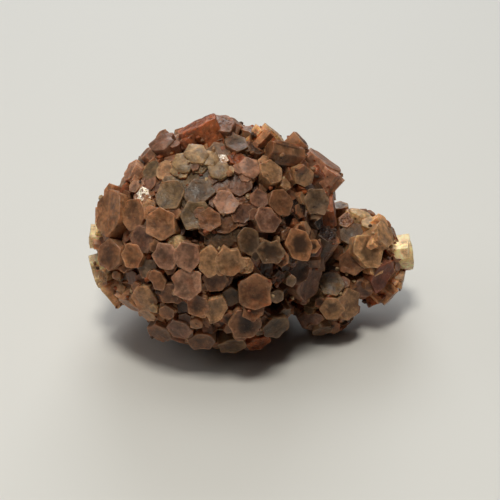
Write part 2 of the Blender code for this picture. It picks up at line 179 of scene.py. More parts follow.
@dataclass(frozen=True)
class Crystal:
    """One crystal of the front, as the eye sees it, in millimetres and degrees.

    width is across its end face and stand is how far that face stands out of the ball. turn spins it and
    tall stretches it upwards. lean is the angle between its axis and the sight line, and bearing the
    axis's heading in view. core says how much darker its middle is, rim how strongly its edge gets a paler
    painted glow of light leaving the crystal there, stain how rusty it is, notch how deep the re-entrant
    corner of the twin is, and lift how far the dressed crystal stands out further than the solid's.
    """

    right: float
    up: float
    width: float
    tint: Tint
    end: End = End.FLAT
    stand: float = 0.0
    turn: float = 0.0
    tall: float = 1.0
    lean: Optional[float] = None
    bearing: Optional[float] = None
    long: Optional[float] = None
    core: float = 0.5
    rim: float = 0.5
    stain: float = 0.3
    notch: float = 0.0
    clear: bool = False
    lift: float = 0.0


T, E, C = Tint, End, Crystal

MAIN_CRYSTALS: tuple[Crystal, ...] = (
    # The shoulder at the upper left.
    C(-17.2, 20.8, 6.0, T.MAUVE, E.DOMED, stand=-1.6, turn=10, core=0.1, rim=0.3, lift=1.5),
    C(-23.5, 15.6, 5.0, T.PINK, E.ROUGH, stand=-1.6, lean=66, bearing=150, core=0.1, lift=0.9),
    C(-20.3, 18.9, 3.2, T.ROSE, stand=-1.4, lean=70, bearing=140, lift=0.9),
    C(-19.8, 16.0, 4.4, T.OLIVE, stand=-1.2, turn=25, core=0.1),
    C(-20.6, 13.2, 4.0, T.MAUVE, stand=-1.2, turn=5, core=0.2),
    C(-23.2, 12.8, 2.8, T.PINK, stand=-0.6),
    C(-21.6, 10.6, 4.4, T.ORANGE, E.DRUSY, stand=-0.6, turn=15, core=0.0, rim=0.8),
    C(-28.5, 7.6, 8.0, T.ORANGE, E.STEPPED, stand=0.4, tall=1.2, lean=50, core=0.3, rim=0.4),
    C(-23.4, 7.0, 6.2, T.ORANGE, E.DISHED, stand=-0.4, turn=30, tall=1.15, core=0.6, rim=0.3),
    # The pale olive crystals below it.
    C(-16.1, 11.2, 6.1, T.OLIVE, E.DISHED, stand=0.6, turn=30, core=0.2, rim=0.5, stain=0.0),
    C(-17.0, 15.8, 4.2, T.TAN, stand=-1.0, core=0.1),
    C(-12.8, 14.6, 5.4, T.OLIVE, stand=-0.4, turn=12, core=0.2),
    # This crystal's tint is darkened to smoke as painted shade, for a shadowed spot.
    C(-10.2, 11.8, 6.4, T.SMOKE, E.STEPPED, stand=0.2, turn=20, tall=0.8, core=0.7, rim=0.6, stain=0.0),
    C(-11.0, 6.9, 6.1, T.OLIVE, E.STEPPED, stand=0.3, turn=30, core=0.3, stain=0.0),
    C(-8.2, 6.0, 4.6, T.BROWN, stand=0.7, turn=5, core=0.2, rim=0.4),
    # The cream group.
    C(-13.4, 17.8, 4.6, T.CREAM, E.DOMED, stand=0.9, turn=30, tall=1.05, core=0.0, rim=0.2, stain=0.1),
    C(-10.7, 19.4, 4.6, T.CREAM, E.DOMED, stand=1.6, turn=30, tall=1.25, core=0.0, rim=0.2, stain=0.1),
    C(-7.9, 18.6, 3.8, T.CREAM, E.DOMED, stand=1.2, turn=20, tall=1.1, core=0.0, rim=0.2, stain=0.1),
    C(-6.2, 16.3, 4.4, T.CREAM, E.DOMED, stand=1.0, turn=12, tall=0.9, core=0.0, rim=0.25, stain=0.2),
    # The top edge, whose crystals show their sides.
    C(-10.5, 24.9, 9.0, T.RUST, E.ROUGH, lean=76, bearing=116, stain=1.0, core=0.2, lift=0.5),
    C(-9.0, 22.4, 5.2, T.MAUVE, stand=-1.6, turn=10, core=0.5),
    C(-5.8, 25.7, 5.4, T.MAUVE, E.ROUGH, stand=0.8, turn=30, lean=50, bearing=92, tall=1.2, core=0.1),
    C(-2.4, 25.5, 4.0, T.ROSE, lean=80, bearing=57, turn=30, stain=0.6),
    C(0.6, 24.0, 4.2, T.BROWN, lean=66, bearing=80, stain=0.6),
    C(5.0, 23.6, 5.6, T.TAN, stand=1.0, lean=80, bearing=46, turn=30, stain=0.7, clear=True),
    C(9.8, 21.6, 4.4, T.BROWN, stand=0.6, lean=76, bearing=44, turn=30, stain=0.8, clear=True, lift=0.7),
    C(3.8, 20.0, 3.8, T.BROWN, E.FLAT, stand=1.4, lean=62, bearing=172, long=7.0, stain=0.6),
    C(15.0, 18.2, 9.0, T.MAUVE, stand=0.6, lean=77, bearing=54, stain=0.9, core=0.1, clear=True),
    # The upper middle.
    C(-6.4, 19.9, 5.0, T.GREY, stand=-1.2, turn=20, core=0.2),
    C(-2.6, 21.6, 4.8, T.SMOKE, E.STEPPED, stand=-0.4, turn=10, core=0.3),
    C(-2.6, 18.4, 3.4, T.RUST, E.ROUGH, stand=-0.8, turn=25, stain=1.0),
    C(0.2, 16.8, 4.8, T.ROSE, E.DOMED, stand=0.7, turn=20, core=0.1, rim=0.3, stain=0.1),
    C(4.3, 15.6, 5.2, T.TAN, E.DISHED, stand=1.0, turn=0, tall=1.1, core=0.1, rim=0.3, stain=0.1),
    C(9.4, 16.3, 4.4, T.ORANGE, E.ROUGH, stand=-0.2, turn=15, stain=0.7),
    C(11.0, 14.6, 4.2, T.TAN, E.STEPPED, stand=0.4, lean=42, bearing=330, turn=50, tall=1.3, rim=0.6, stain=0.6),
    C(7.2, 13.3, 2.6, T.TAN, E.DOMED, stand=0.4, core=0.1, stain=0.6),
    C(1.4, 20.6, 4.0, T.UMBER, E.ROUGH, stand=-1.0, turn=5, stain=0.8),
    C(-7.0, 14.0, 5.6, T.MAUVE, stand=-0.4, turn=25, core=0.2),
    C(-2.2, 13.4, 5.0, T.MAUVE, E.STEPPED, stand=-0.4, turn=5, core=0.3),
    # The middle.
    C(-4.8, 9.6, 4.8, T.ROSE, E.STEPPED, stand=0.6, turn=30, core=0.1, rim=0.5, stain=0.1),
    C(-2.0, 9.4, 4.2, T.BROWN, E.ROUGH, stand=-0.8, stain=0.7),
    C(-1.7, 7.4, 4.8, T.MAUVE, E.DISHED, stand=0.0, turn=20, tall=0.8, core=0.4),
    C(1.8, 10.2, 4.0, T.MAUVE, E.DISHED, stand=0.3, turn=10, core=0.4),
    C(3.4, 6.3, 5.0, T.MAUVE, E.DISHED, stand=0.9, turn=30, tall=1.1, core=0.3, rim=0.8, stain=0.1),
    C(6.4, 9.4, 5.0, T.BROWN, stand=0.3, turn=45, tall=1.1, core=0.3, stain=0.6),
    C(13.2, 9.8, 5.8, T.GREY, E.DISHED, stand=-0.4, turn=30, lean=26, core=0.5, rim=0.5, stain=0.1),
    # A near-black crystal, painted shade in a gap.
    C(9.6, 8.4, 4.4, T.PAINTED_SHADE, E.ROUGH, stand=-1.8, stain=0.4),
    C(16.8, 11.8, 4.0, T.TAN, stand=-0.3, lean=80, bearing=10),
    C(16.6, 15.0, 4.4, T.BROWN, stand=-0.8, lean=60, bearing=30, stain=0.6),
    C(10.0, 1.1, 5.4, T.ORANGE, E.DISHED, stand=0.7, turn=30, lean=14, tall=1.25, core=1.0, rim=0.8, stain=0.4),
    C(4.1, -0.3, 5.5, T.SMOKE, E.DISHED, stand=0.6, turn=30, lean=8, core=0.9, rim=0.9, notch=0.26, stain=0.1),
    C(-0.3, 1.7, 4.6, T.SMOKE, E.DISHED, stand=-0.4, turn=10, tall=1.2, core=0.6, rim=0.6, stain=0.1),
    C(-4.8, 5.2, 5.2, T.BROWN, E.STEPPED, stand=-0.3, turn=15, tall=0.8, core=0.3),
    C(-6.2, 2.6, 6.0, T.SMOKE, stand=-0.9, turn=0, tall=0.8, core=0.2, rim=0.3, stain=0.2),
    # Two near-black crystals, painted shade in the gaps.
    C(15.6, 3.4, 4.8, T.PAINTED_SHADE, E.ROUGH, stand=-0.8, lean=52, bearing=60, long=6.0, stain=0.7),
    C(13.8, 6.0, 4.0, T.PAINTED_SHADE, E.ROUGH, stand=-1.8, stain=0.5),
    # The left side.
    C(-18.0, 5.4, 6.6, T.ORANGE, E.DISHED, stand=0.9, turn=5, lean=16, core=0.6, rim=0.8),
    C(-17.0, -1.2, 5.2, T.ROSE, E.DISHED, stand=1.0, turn=30, tall=1.2, lean=14, core=0.6, rim=0.9),
    C(-12.6, -1.4, 5.2, T.ROSE, stand=0.8, turn=15, tall=1.15, core=0.3, rim=0.6),
    C(-15.2, 1.2, 3.2, T.HONEY, E.ROUGH, stand=0.0, core=0.0),
    C(-21.6, 2.2, 5.4, T.MAUVE, E.STEPPED, stand=0.5, turn=20, lean=26, core=0.4, rim=0.6),
    C(-23.6, -1.0, 5.0, T.ORANGE, E.DISHED, stand=1.1, turn=30, lean=24, core=0.6, rim=0.8, stain=0.5),
    C(-28.2, -0.9, 6.2, T.BROWN, E.STEPPED, stand=0.8, turn=0, lean=34, bearing=180, core=0.5, rim=0.8),
    C(-32.2, 2.8, 5.4, T.HONEY, E.ROUGH, lean=84, bearing=178, core=0.0, clear=True),
    C(-31.3, -4.3, 6.6, T.HONEY, lean=88, bearing=197, turn=30, core=0.1, stain=0.7, clear=True),
    C(-28.6, -9.3, 6.4, T.TAN, lean=86, bearing=218, turn=30, core=0.1, stain=0.7, clear=True),
    C(-24.2, -11.0, 5.6, T.ORANGE, stand=-0.4, lean=74, bearing=240, stain=0.6),
    C(-26.8, -5.2, 2.0, T.TAN, E.DOMED, stand=-1.0, lean=30, core=0.0),
    C(-26.0, -7.7, 2.0, T.TAN, E.DOMED, stand=-0.8, lean=30, core=0.0),
    C(-29.6, -5.2, 2.8, T.TAN, E.ROUGH, stand=-0.4, lean=50, core=0.0),
    C(-24.6, -6.0, 4.8, T.SMOKE, stand=-2.4),
    C(-20.4, -3.8, 4.6, T.GREY, stand=-0.9, turn=30, core=0.2),
    C(-18.6, -6.2, 3.3, T.BROWN, E.DOMED, stand=1.3, turn=30, tall=1.25, lean=16, core=0.1, rim=1.0, stain=0.5),
    # The lower middle.
    C(-12.6, -6.9, 6.4, T.PINK, E.DISHED, stand=1.0, turn=8, lean=12, core=0.4, rim=0.6, stain=0.4),
    C(-8.2, -2.4, 4.6, T.TAN, stand=0.6, turn=0, tall=1.45, core=0.4, rim=0.5),
    C(-4.0, -2.3, 5.6, T.TAN, E.STEPPED, stand=1.0, turn=15, tall=1.1, core=0.6, rim=0.7, stain=0.5),
    C(-1.0, -3.3, 4.0, T.TAN, E.ROUGH, stand=0.0, turn=30, core=0.1),
    C(-6.8, -6.0, 5.0, T.BROWN, stand=-0.6, turn=25, core=0.4),
    C(1.0, -8.7, 7.3, T.BROWN, E.DISHED, stand=1.2, turn=0, lean=10, core=0.6, rim=0.7, stain=0.7, notch=0.14,
      lift=-0.3),
    C(-1.0, -14.7, 6.6, T.BROWN, E.DISHED, stand=1.2, turn=30, lean=22, core=1.0, rim=0.9, stain=0.3),
    C(-3.8, -9.4, 4.2, T.SMOKE, stand=-1.6, stain=0.1),
    C(5.4, -9.2, 3.0, T.GREY, stand=-1.6, lean=24, stain=0.1),
    C(9.4, -4.4, 5.8, T.UMBER, E.DISHED, stand=-2.2, lean=24, stain=0.2),
    C(8.4, -6.2, 2.4, T.GREY, E.DOMED, stand=-0.6, lean=24, core=0.0, rim=0.9),
    C(2.8, -4.2, 4.2, T.UMBER, E.ROUGH, stand=-2.2, stain=0.6),
    C(5.8, -5.6, 3.0, T.UMBER, E.ROUGH, stand=-1.6, stain=0.6),
    C(5.2, -15.6, 6.2, T.SMOKE, E.STEPPED, stand=0.0, turn=10, lean=44, core=0.3, stain=0.5),
    # The lower left.
    C(-16.2, -8.6, 4.4, T.BROWN, stand=0.5, turn=30, lean=22, core=0.2),
    C(-21.2, -9.9, 6.0, T.TAN, E.STEPPED, stand=0.4, turn=30, lean=34, core=0.3, rim=0.5),
    C(-19.4, -11.9, 2.0, T.CREAM, E.DOMED, stand=1.0, lean=40, core=0.0),
    C(-16.6, -12.6, 3.2, T.BROWN, E.DISHED, stand=0.8, lean=36, core=0.5, rim=0.7),
    C(-20.8, -13.0, 4.4, T.TAN, stand=-0.4, lean=60),
    C(-13.8, -11.4, 4.2, T.UMBER, stand=-1.2),
    C(-10.4, -11.2, 4.6, T.BROWN, E.DISHED, stand=0.7, turn=10, lean=26, core=0.7, rim=0.8, stain=0.5),
    C(-6.9, -12.0, 4.5, T.TAN, E.STEPPED, stand=0.7, turn=-25, tall=1.4, lean=22, core=0.5, rim=0.6, stain=0.5),
    C(-14.1, -16.0, 5.0, T.MAUVE, E.STEPPED, stand=0.5, turn=30, lean=42, core=0.3, rim=0.6, stain=0.1),
    C(-18.2, -16.7, 5.8, T.BROWN, stand=0.0, turn=15, lean=58),
    C(-10.8, -14.9, 3.0, T.ORANGE, E.DOMED, stand=0.4, lean=40, core=0.1),
    # This crystal's tint is darkened to brown as painted shade, for the underside.
    C(-9.6, -18.5, 6.0, T.BROWN, E.DISHED, stand=0.4, turn=30, lean=48, tall=0.85, core=0.4, rim=0.6, stain=0.2),
    C(-3.6, -19.3, 6.2, T.SMOKE, stand=0.0, turn=10, lean=58),
    C(1.8, -18.8, 5.4, T.RUST, E.ROUGH, stand=0.0, turn=20, lean=62, stain=0.8),
)

LOBE_CRYSTALS: tuple[Crystal, ...] = (
    C(18.2, 9.0, 3.8, T.TAN, lean=64, bearing=100),
    C(22.2, 7.8, 5.0, T.CREAM, E.DOMED, lean=70, bearing=74, core=0.0, stain=0.1, clear=True),
    C(19.2, 6.2, 3.6, T.PINK, E.ROUGH, stand=0.2, lean=40, bearing=120),
    C(20.4, 3.4, 5.2, T.SMOKE, stand=-0.6, turn=10, lean=26, bearing=120, core=0.4),
    C(24.0, 5.4, 4.0, T.CREAM, stand=0.2, lean=44, bearing=80, core=0.0, stain=0.1, clear=True),
    C(23.9, -0.3, 6.2, T.TAN, E.DISHED, stand=1.2, turn=36, tall=1.25, lean=22, bearing=15, core=0.8, rim=0.9,
      stain=0.1, clear=True),
    C(27.2, 3.2, 6.2, T.TAN, E.STEPPED, stand=1.2, turn=20, lean=58, bearing=28, core=0.3, rim=0.4, stain=0.0,
      clear=True),
    C(32.3, -0.3, 7.7, T.HONEY, lean=86, bearing=6, turn=30, core=0.1, stain=0.2, clear=True),
    C(26.6, -5.4, 4.9, T.WINE, E.DISHED, stand=0.8, turn=-28, tall=1.4, lean=40, bearing=325, core=0.2, rim=0.3),
    C(30.6, -6.2, 4.4, T.TAN, lean=84, bearing=346, stain=0.8, clear=True),
    C(28.0, -9.0, 5.0, T.ORANGE, lean=84, bearing=316, stain=1.0, clear=True, lift=0.6),
    C(25.2, -10.8, 3.8, T.RUST, lean=84, bearing=292, stain=1.0),
    C(22.6, -7.8, 5.0, T.MAUVE, stand=0.0, turn=30, lean=36, bearing=268, core=0.2),
    C(20.2, -2.4, 5.6, T.BROWN, E.STEPPED, stand=0.4, turn=10, lean=14, bearing=200, core=0.4),
)

SPUR_CRYSTALS: tuple[Crystal, ...] = (
    C(11.4, -14.4, 4.8, T.MAUVE, E.DOMED, stand=0.4, turn=30, lean=38, bearing=235, core=0.2),
    C(14.4, -16.3, 4.6, T.SMOKE, E.STEPPED, stand=0.0, turn=10, lean=66, bearing=282),
    C(16.4, -11.8, 5.2, T.TAN, E.DISHED, stand=1.4, turn=30, lean=12, bearing=270, core=0.8, rim=0.6),
    C(19.8, -10.8, 6.0, T.TAN, stand=0.8, turn=0, tall=1.2, lean=38, bearing=350, core=0.3),
    C(12.2, -9.4, 5.4, T.OLIVE, E.STEPPED, stand=0.6, turn=15, lean=24, bearing=160, core=0.3, rim=0.4),
    C(16.2, -6.6, 5.8, T.OLIVE, E.STEPPED, stand=0.8, turn=25, lean=30, bearing=90, core=0.2, rim=0.4),
    C(19.2, -5.8, 5.0, T.BROWN, stand=0.2, turn=5, lean=44, bearing=50),
    # A near-black crystal, painted shade in the gap.
    C(15.2, -2.8, 5.2, T.PAINTED_SHADE, E.STEPPED, stand=0.4, turn=10, lean=60, bearing=100, stain=0.2, lift=-1.2),
)

# Small crystals of the front that only the dressed model has.
DRESSED_CRYSTALS: tuple[Crystal, ...] = (
    C(-5.8, 18.3, 2.6, T.TAN, E.DRUSY, stand=0.9, turn=15, core=0.0, rim=0.6, stain=0.1),
    C(-10.0, 16.6, 3.0, T.CREAM, E.ROUGH, stand=0.4, turn=8, core=0.0, rim=0.2, stain=0.3),
    C(-14.8, 15.8, 2.4, T.CREAM, E.DOMED, stand=0.4, turn=8, core=0.0, rim=0.2, stain=0.1),
    C(8.6, -1.6, 3.0, T.UMBER, E.ROUGH, stand=-0.8, turn=8, core=0.3, stain=0.8),
    C(14.2, 15.8, 3.4, T.RUST, E.ROUGH, stand=0.8, turn=8, core=0.2, stain=1.0),
    C(13.4, 0.4, 3.4, T.WINE, E.STEPPED, stand=-0.6, turn=20, core=0.4, stain=0.6),
    C(7.6, 3.2, 2.8, T.BROWN, E.ROUGH, stand=-0.4, turn=12, core=0.3, stain=0.8),
    C(-20.2, 8.6, 3.0, T.TAN, E.ROUGH, stand=-0.4, turn=12, core=0.1, stain=0.4),
    C(-23.0, 2.6, 3.2, T.BROWN, E.ROUGH, stand=-0.2, turn=22, core=0.2, stain=0.5),
)

OUTLINE: tuple[tuple[float, float], ...] = (
    (-5.6, 27.6), (-1.2, 24.8), (1.6, 24.6), (7.0, 21.6), (11.2, 20.8), (16.0, 18.6), (18.5, 15.6),
    (17.2, 13.2), (17.5, 10.2), (20.2, 8.6), (23.4, 8.0), (25.6, 6.3), (28.2, 4.8), (28.8, 3.4),
    (31.8, 3.4), (32.6, -4.0), (30.9, -4.2), (30.0, -7.6), (26.6, -10.8), (23.8, -10.2), (21.8, -10.4),
    (21.8, -13.8), (16.2, -15.8), (15.0, -17.6), (9.8, -16.2), (8.6, -13.6), (7.8, -15.0), (5.6, -17.8),
    (-2.0, -20.4), (-10.5, -20.2), (-14.0, -18.4), (-17.0, -18.6), (-20.4, -15.4), (-22.6, -12.4),
    (-26.2, -11.2), (-30.5, -6.8), (-32.2, -1.6), (-32.4, 2.6), (-30.6, 9.6), (-28.6, 11.8),
    (-26.0, 13.0), (-24.0, 17.6), (-21.0, 18.8), (-19.8, 21.6), (-17.0, 22.8), (-15.2, 22.6),
    (-12.4, 25.2), (-7.0, 27.2),
)

# Feet: X and Y from the main ball's centre, and width.
FEET: tuple[tuple[float, float, float], ...] = (
    (-9.0, -1.6, 7.2), (-5.5, 9.0, 7.4), (7.0, 9.0, 7.2), (4.6, -4.4, 7.2), (21.6, 0.2, 5.8),
)

HIDDEN_TINTS: tuple[Tint, ...] = (
    T.MAUVE, T.MAUVE, T.BROWN, T.BROWN, T.BROWN, T.TAN, T.TAN, T.OLIVE, T.ORANGE, T.ROSE, T.GREY, T.SMOKE,
    T.PINK, T.RUST, T.CREAM,
)


@dataclass(frozen=True)
class Placed:
    """A crystal in space: the middle of its end face, its own axes, its sizes in mm and its looks."""

    centre: Vector
    across: Vector
    along: Vector
    axis: Vector
    width: float
    tall: float
    length: float
    seed: int
    looks: Crystal


def own_axes(axis: Vector, turn: float) -> tuple[Vector, Vector]:
    """Directions across and along a crystal's end face.

    Args:
        axis: Where the crystal points.
        turn: How far it is spun about that axis, in radians.

    Returns:
        The two directions, at right angles to each other and to the axis.
    """
    guide = SIGHT.right if abs(axis.dot(SIGHT.right)) < 0.9 else UP
    across = (guide - axis * guide.dot(axis)).normalized()
    across = Matrix.Rotation(turn, 3, axis) @ across
    return across, axis.cross(across)


@dataclass
class Layout:
    """Where every crystal of the solid is, found in the way that the solid's source finds it."""

    floor_drop: float = 21.8
    clear_of_floor: float = 0.5
    length_least: float = 4.5
    length_per_width: float = 1.5
    length_most: float = 15.0
    sides: int = 6
    corner_spread: float = 0.09
    corner_twist: float = math.radians(5.0)
    foot_taper: float = 0.84
    front_limit: float = 0.42
    rim_sink: float = 2.0
    crown: float = 2.2
    hidden_lean: float = 0.13
    slide_step: float = 0.5
    slide_most: float = 7.0
    shape_seed: int = 100
    hidden_seed: int = 11
    companion_seed: int = 23
    dressed_seed: int = 900
    open_sink: float = 1.2
    placed: list[Placed] = field(default_factory=list)

    def length_of(self, width: float) -> float:
        """How far a crystal of this width reaches down into the cluster."""
        return min(self.length_most, self.length_least + self.length_per_width * width)

    def corners(self, item: Placed) -> list[tuple[float, float]]:
        """Each corner's distance from the axis, as a share of half the width, and its twist."""
        rng = random.Random(item.seed)
        return [(1.0 + rng.uniform(-self.corner_spread, self.corner_spread),
                 rng.uniform(-self.corner_twist, self.corner_twist)) for _ in range(self.sides)]

    def place_seen(self, ball: Ball, item: Crystal, seed: int) -> Placed:
        """Sets a crystal of the tables in space.

        Args:
            ball: The ball that it grew from.
            item: The crystal as the eye sees it.
            seed: What its outline is drawn from.

        Returns:
            The crystal in space.
        """
        depth = ball.depth_at(item.right, item.up, item.stand)
        shrink = 1.0 - depth / SIGHT.distance
        seen = Vector((item.right * shrink, item.up * shrink, depth))
        out = Vector([(seen[i] - ball.centre[i]) / ball.radii[i] ** 2 for i in range(3)]).normalized()
        lean = math.acos(max(-1.0, min(1.0, out.z))) if item.lean is None else math.radians(item.lean)
        bearing = math.atan2(out.y, out.x) if item.bearing is None else math.radians(item.bearing)
        axis = SIGHT.in_space(math.sin(lean) * math.cos(bearing), math.sin(lean) * math.sin(bearing),
                              math.cos(lean))
        across, along = own_axes(axis, math.radians(item.turn))
        long = item.long or self.length_of(item.width)
        return Placed(SIGHT.in_space(*seen), across, along, axis, item.width, item.tall, long, seed, item)

    def place_feet(self) -> None:
        """Adds the feet, whose end faces lie on the floor."""
        start = self.shape_seed + len(self.placed)
        centre = SIGHT.in_space(*MAIN.centre)
        down = Vector((0.0, 0.0, -1.0))
        for index, (x, y, width) in enumerate(FEET):
            end = centre + Vector((x, y, -self.floor_drop))
            across, along = own_axes(down, math.radians(17.0 * index))
            looks = Crystal(0.0, 0.0, width, Tint.BROWN, core=0.4)
            self.placed.append(Placed(end, across, along, down, width, 1.0, 13.0, start + index, looks))

    def lifted_clear(self, item: Placed) -> Placed:
        """The crystal slid back along its axis until its end face clears the floor."""
        floor = SIGHT.in_space(*MAIN.centre).z - self.floor_drop + self.clear_of_floor
        steepness = max(0.0, 1.0 - item.axis.z ** 2) ** 0.5
        lowest = item.centre.z - 0.5 * item.width * max(1.0, item.tall) * steepness
        if lowest >= floor:
            return item
        if item.axis.z > -0.25:
            return replace(item, centre=item.centre + Vector((0.0, 0.0, floor - lowest)))
        return replace(item, centre=item.centre + item.axis * ((floor - lowest) / item.axis.z))

    @staticmethod
    def inside_another(point: Vector, ball: Ball) -> bool:
        """True where a point of the view's space lies well inside one of the other balls."""
        for other in BALLS:
            if other is ball:
                continue
            away = point - other.centre
            if sum((away[i] / other.radii[i]) ** 2 for i in range(3)) < 0.8:
                return True
        return False

    @staticmethod
    def inside_outline(point: Vector) -> bool:
        """True where the eye sees a point of space within OUTLINE."""
        shrink = 1.0 - point.dot(TOWARDS) / SIGHT.distance
        right, up = point.dot(SIGHT.right) / shrink, point.dot(UP) / shrink
        inside = False
        for (x0, y0), (x1, y1) in zip(OUTLINE, OUTLINE[1:] + OUTLINE[:1]):
            if (y0 > up) != (y1 > up) and right < x0 + (up - y0) / (y1 - y0) * (x1 - x0):
                inside = not inside
        return inside

    def drawn_inside(self, item: Placed) -> Optional[Placed]:
        """The crystal slid back until the eye sees all of its end face within OUTLINE.

        Args:
            item: The crystal where it would stand.

        Returns:
            The crystal where it may stand, or None where the way is too long.
        """
        ring = [item.across * math.cos(math.radians(60 * k)) + item.along * math.sin(math.radians(60 * k))
                for k in range(self.sides)]
        for step in range(int(self.slide_most / self.slide_step)):
            centre = item.centre - item.axis * (step * self.slide_step)
            if all(self.inside_outline(centre + way * (0.5 * item.width)) for way in ring):
                return replace(item, centre=centre)
        return None

    @staticmethod
    def spiral(ball: Ball) -> Iterator[tuple[Vector, float]]:
        """Directions spaced evenly over a ball, with the width of the crystal that each one gets."""
        golden = math.pi * (3.0 - math.sqrt(5.0))
        radius = sum(ball.radii) / 3.0
        count = round(4.0 * math.pi * radius * radius / (0.866 * ball.spacing ** 2))
        for index in range(count):
            z = 1.0 - (2.0 * index + 1.0) / count
            flat = math.sqrt(1.0 - z * z)
            heading = index * golden
            yield Vector((flat * math.cos(heading), flat * math.sin(heading), z)), ball.spacing

    @staticmethod
    def thrown(count: int, rng: random.Random) -> Iterator[tuple[Vector, float]]:
        """Directions at random over a ball."""
        for _ in range(count):
            yield Vector([rng.gauss(0.0, 1.0) for _ in range(3)]).normalized(), 1.0

    def cover(self, ball: Ball, directions: Iterator[tuple[Vector, float]], rng: random.Random,
              widths: tuple[float, float], stands: tuple[float, float], keep_off: float) -> None:
        """Sets crystals along the directions that lead away from the eye, off those already placed.

        Args:
            ball: The ball that they grow from.
            directions: Where they point, and what their width is a share of.
            rng: What their looks are drawn from.
            widths: Least and most width.
            stands: Least and most stand.
            keep_off: The least distance between two end faces, as a share of their widths' sum.
        """
        looks_rng = random.Random(self.hidden_seed + len(self.placed))
        for out, scale in directions:
            width = scale * rng.uniform(*widths)
            stand = rng.uniform(*stands)
            sway = Vector([rng.gauss(0.0, self.hidden_lean) for _ in range(3)])
            turn = rng.uniform(0.0, math.tau)
            stand += (self.crown * max(0.0, out.y) ** 2 * (ball is MAIN)
                      - self.rim_sink * max(0.0, out.z) / self.front_limit)
            seen = Vector([ball.centre[i] + out[i] * (ball.radii[i] + stand) for i in range(3)])
            if out.z > self.front_limit or self.inside_another(seen, ball):
                continue
            axis = (SIGHT.in_space(*out) + sway).normalized()
            across, along = own_axes(axis, turn)
            looks = self.hidden_looks(width, looks_rng)
            item = self.drawn_inside(Placed(SIGHT.in_space(*seen), across, along, axis, width, 1.0,
                                            self.length_of(width), self.shape_seed + len(self.placed), looks))
            if item is None:
                continue
            item = self.lifted_clear(item)
            if all((item.centre - other.centre).length > keep_off * (width + other.width)
                   for other in self.placed):
                self.placed.append(item)

    @staticmethod
    def hidden_looks(width: float, rng: random.Random) -> Crystal:
        """Looks for a crystal that no table lists."""
        tint = rng.choice(HIDDEN_TINTS)
        end = rng.choices((End.FLAT, End.DISHED, End.STEPPED, End.DOMED, End.ROUGH), (3, 4, 4, 1, 1))[0]
        return Crystal(0.0, 0.0, width, tint, end, core=rng.uniform(0.1, 0.9), rim=rng.uniform(0.3, 0.9),
                       stain=rng.uniform(0.0, 0.8), notch=rng.choice((0.0, 0.0, 0.18)))

    def fill(self) -> None:
        """Places every crystal, in the solid's own order."""
        for ball, table in ((MAIN, MAIN_CRYSTALS), (LOBE, LOBE_CRYSTALS), (SPUR, SPUR_CRYSTALS)):
            for item in table:
                seed = self.shape_seed + len(self.placed)
                self.placed.append(self.lifted_clear(self.place_seen(ball, item, seed)))
        self.place_feet()
        rng = random.Random(self.hidden_seed)
        for ball in BALLS:
            self.cover(ball, self.spiral(ball), rng, (0.92, 1.24), (-1.5, 0.7), 0.36)
        for ball in BALLS:
            self.cover(ball, self.thrown(1500, rng), rng, (3.4, 5.2), (-3.0, -1.2), 0.43)

    def dress(self, crust: "Crust") -> None:
        """Sinks the unlisted crystals in open places and darkens them to umber as painted shade, and adds what
        the solid doesn't have.

        Args:
            crust: The ground, which knows the open places.
        """
        for index, item in enumerate(self.placed):
            if item.looks.right or item.axis.z < -0.9 or crust.sunk(item.centre) < 0.8:
                continue
            # Painted shade: crystals in the open places turn umber and rusty.
            looks = replace(item.looks, tint=Tint.UMBER, stain=0.8)
            self.placed[index] = replace(item, looks=looks, centre=item.centre - item.axis * self.open_sink)
        for index, looks in enumerate(DRESSED_CRYSTALS):
            self.placed.append(self.place_seen(MAIN, looks, self.dressed_seed + index))

    def buried(self, point: Vector, margin: float) -> bool:
        """True where a point lies at least this deep inside one of the placed crystals."""
        for item in self.placed:
            away = point - item.centre
            along_axis = away.dot(item.axis)
            if -item.length < along_axis < -margin:
                aside = (away - item.axis * along_axis).length
                if aside < 0.43 * item.width * min(1.0, item.tall) - margin:
                    return True
        return False

    def companions(self) -> list[Placed]:
        """Small crystals that grew against the flanks of the placed ones, a little lower than these."""
        rng = random.Random(self.companion_seed)
        small: list[Placed] = []
        for item in self.placed:
            for _ in range(rng.choice((1, 2, 2, 3)) if item.width > 3.4 else 1):
                heading = rng.uniform(0.0, math.tau)
                width = item.width * rng.uniform(0.34, 0.62)
                out = 0.5 * item.width * rng.uniform(0.82, 1.02)
                sunk = rng.uniform(0.25, 1.6)
                way = item.across * math.cos(heading) + item.along * (item.tall * math.sin(heading))
                axis = (item.axis + way.normalized() * rng.uniform(-0.02, 0.14)).normalized()
                across, along = own_axes(axis, rng.uniform(0.0, math.tau))
                looks = replace(item.looks, end=rng.choice((End.FLAT, End.DOMED, End.FLAT)), notch=0.0,
                                tint=rng.choice((item.looks.tint, item.looks.tint, Tint.BROWN)),
                                stain=min(1.0, item.looks.stain + rng.uniform(0.0, 0.5)))
                centre = item.centre + way * out - item.axis * sunk
                small.append(Placed(centre, across, along, axis, width, 1.0, 4.0 + width, item.seed + 9000,
                                    looks))
        return small

